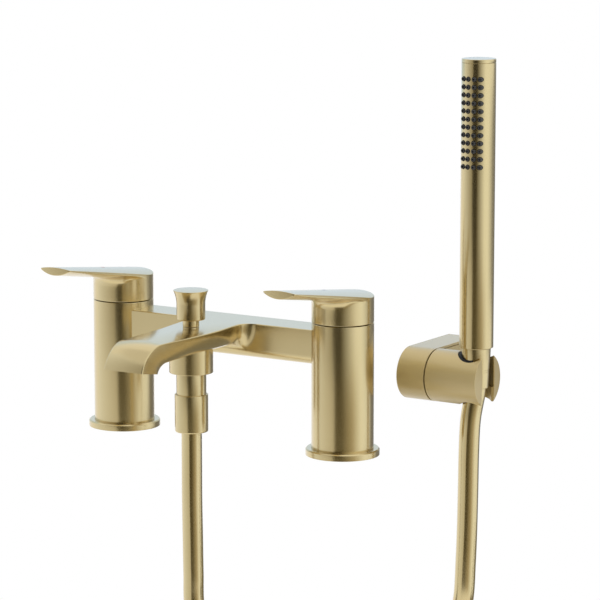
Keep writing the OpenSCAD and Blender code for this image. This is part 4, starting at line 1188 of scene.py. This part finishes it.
DARK_TONE = (0.10, 0.082, 0.036, 1.0)
MIDDLE_TONE = (0.46, 0.40, 0.275, 1.0)
LEFT_TONE = (0.95, 1.00, 1.10, 1.0)
LEFT_END_TONE = (0.66, 0.645, 0.60, 1.0)
UPPER_END_TONE = (0.34, 0.315, 0.25, 1.0)
SIDE_TONE = (1.06, 1.11, 1.18, 1.0)
BACK_TONE = (0.72, 0.855, 1.0, 1.0)
SHADE_TONE = (0.24, 0.22, 0.16, 1.0)
CANOPY_TONE = grey(0.78)
DEEP_TONE = (0.03, 0.025, 0.012, 1.0)
REAR_TONE = (0.40, 0.40, 0.36, 1.0)
card("left_card", -112, -28, 1.5, LEFT_TONE, LEFT_END_TONE)
card("front_card", -28, -2, 1.2, DARK_TONE, DARK_TONE)
card("middle_card", -2, 36, 1.2, DARK_TONE, MIDDLE_TONE)
card("right_card", 36, 70, 1.2, MIDDLE_TONE, SIDE_TONE)
card("side_card", 70, 106, 1.2, SIDE_TONE, SIDE_TONE)
card("edge_card", 106, 124, 0.2, SIDE_TONE, grey(0.30), toe=0.95)
card("rear_card", 124, 165, 0.2, grey(0.20), grey(0.25), toe=0.95)
card("shade_card", 80, 170, None, SHADE_TONE, SHADE_TONE, distance=0.95, toe=0.22)
card("rear_high_card", 112, 165, 1.0, REAR_TONE, BACK_TONE, low=0.2)
card("back_card", 165, 248, 1.0, BACK_TONE, BACK_TONE, low=0.06)
card("canopy_card", -135, -5, 2.0, CANOPY_TONE, CANOPY_TONE, low=1.5, lean=1.15)
upper = dict(low=-0.13, distance=1.2)
card("upper_left_card", -112, -36, 1.2, LEFT_TONE, UPPER_END_TONE, **upper)
card("upper_front_card", -36, -4, 1.2, DEEP_TONE, DEEP_TONE, **upper)
card("upper_right_card", -4, 46, 1.2, DARK_TONE, SIDE_TONE, **upper)
card("upper_side_card", 46, 70, 1.2, SIDE_TONE, SIDE_TONE, **upper)
card("upper_edge_card", 70, 118, 0.2, SIDE_TONE, grey(0.16), **upper)

floor_paint, floor_wire, floor_output = stage_material("floor")
floor_place = floor_wire.node("ShaderNodeTexCoord", out="Object")
floor_far = floor_place.node(
    "ShaderNodeVectorMath", {"operation": "LENGTH"}, {0: floor_place}, out="Value"
)
fade = floor_wire.node(
    "ShaderNodeMapRange", {"interpolation_type": "SMOOTHSTEP"},
    {"Value": floor_far, "From Min": shadow_r, "From Max": fade_r},
)
pale = floor_wire.node("ShaderNodeBsdfDiffuse", {}, {"Color": grey(0.80)})
white = floor_wire.node("ShaderNodeEmission", {}, {"Color": grey(1.0), "Strength": 1.0})
floor_mix = floor_wire.node("ShaderNodeMixShader", {}, {0: fade, 1: pale, 2: white})
floor_wire.feed(floor_output.inputs["Surface"], floor_mix)
floor_turns = [2 * math.pi * k / floor_sides for k in range(floor_sides)]
floor_points = [(floor_r * math.cos(a), floor_r * math.sin(a), floor_z - floor_gap) for a in floor_turns]
stage_mesh("floor", floor_points, [tuple(range(floor_sides))], floor_paint)

world = bpy.data.worlds.new("surround")
scene.world = world
world.use_nodes = True
sky = Wire(world.node_tree)
ray = sky.node("ShaderNodeLightPath", out="Is Camera Ray")
rays = ray.socket.node.outputs
seen = ray + Wire(sky.tree, rays["Is Glossy Ray"]) + Wire(sky.tree, rays["Is Transmission Ray"])
seen = sky.math("MINIMUM", seen, 1.0)
world_shader = world.node_tree.nodes["Background"]
sky.feed(world_shader.inputs["Color"], grey(1.0))
sky.feed(world_shader.inputs["Strength"], 0.5 + 0.5 * seen)

lamp_place = Vector((-0.25, -0.35, 1.7))
lamp = bpy.data.lights.new("overhead", "AREA")
lamp.shape = "DISK"
lamp.size = 1.2
lamp.energy = 14.0
overhead = bpy.data.objects.new("overhead", lamp)
overhead.location = lamp_place
overhead.rotation_euler = (-lamp_place).to_track_quat("-Z", "Y").to_euler()
overhead.visible_glossy = False
scene.collection.objects.link(overhead)

scene.view_settings.view_transform = "Standard"
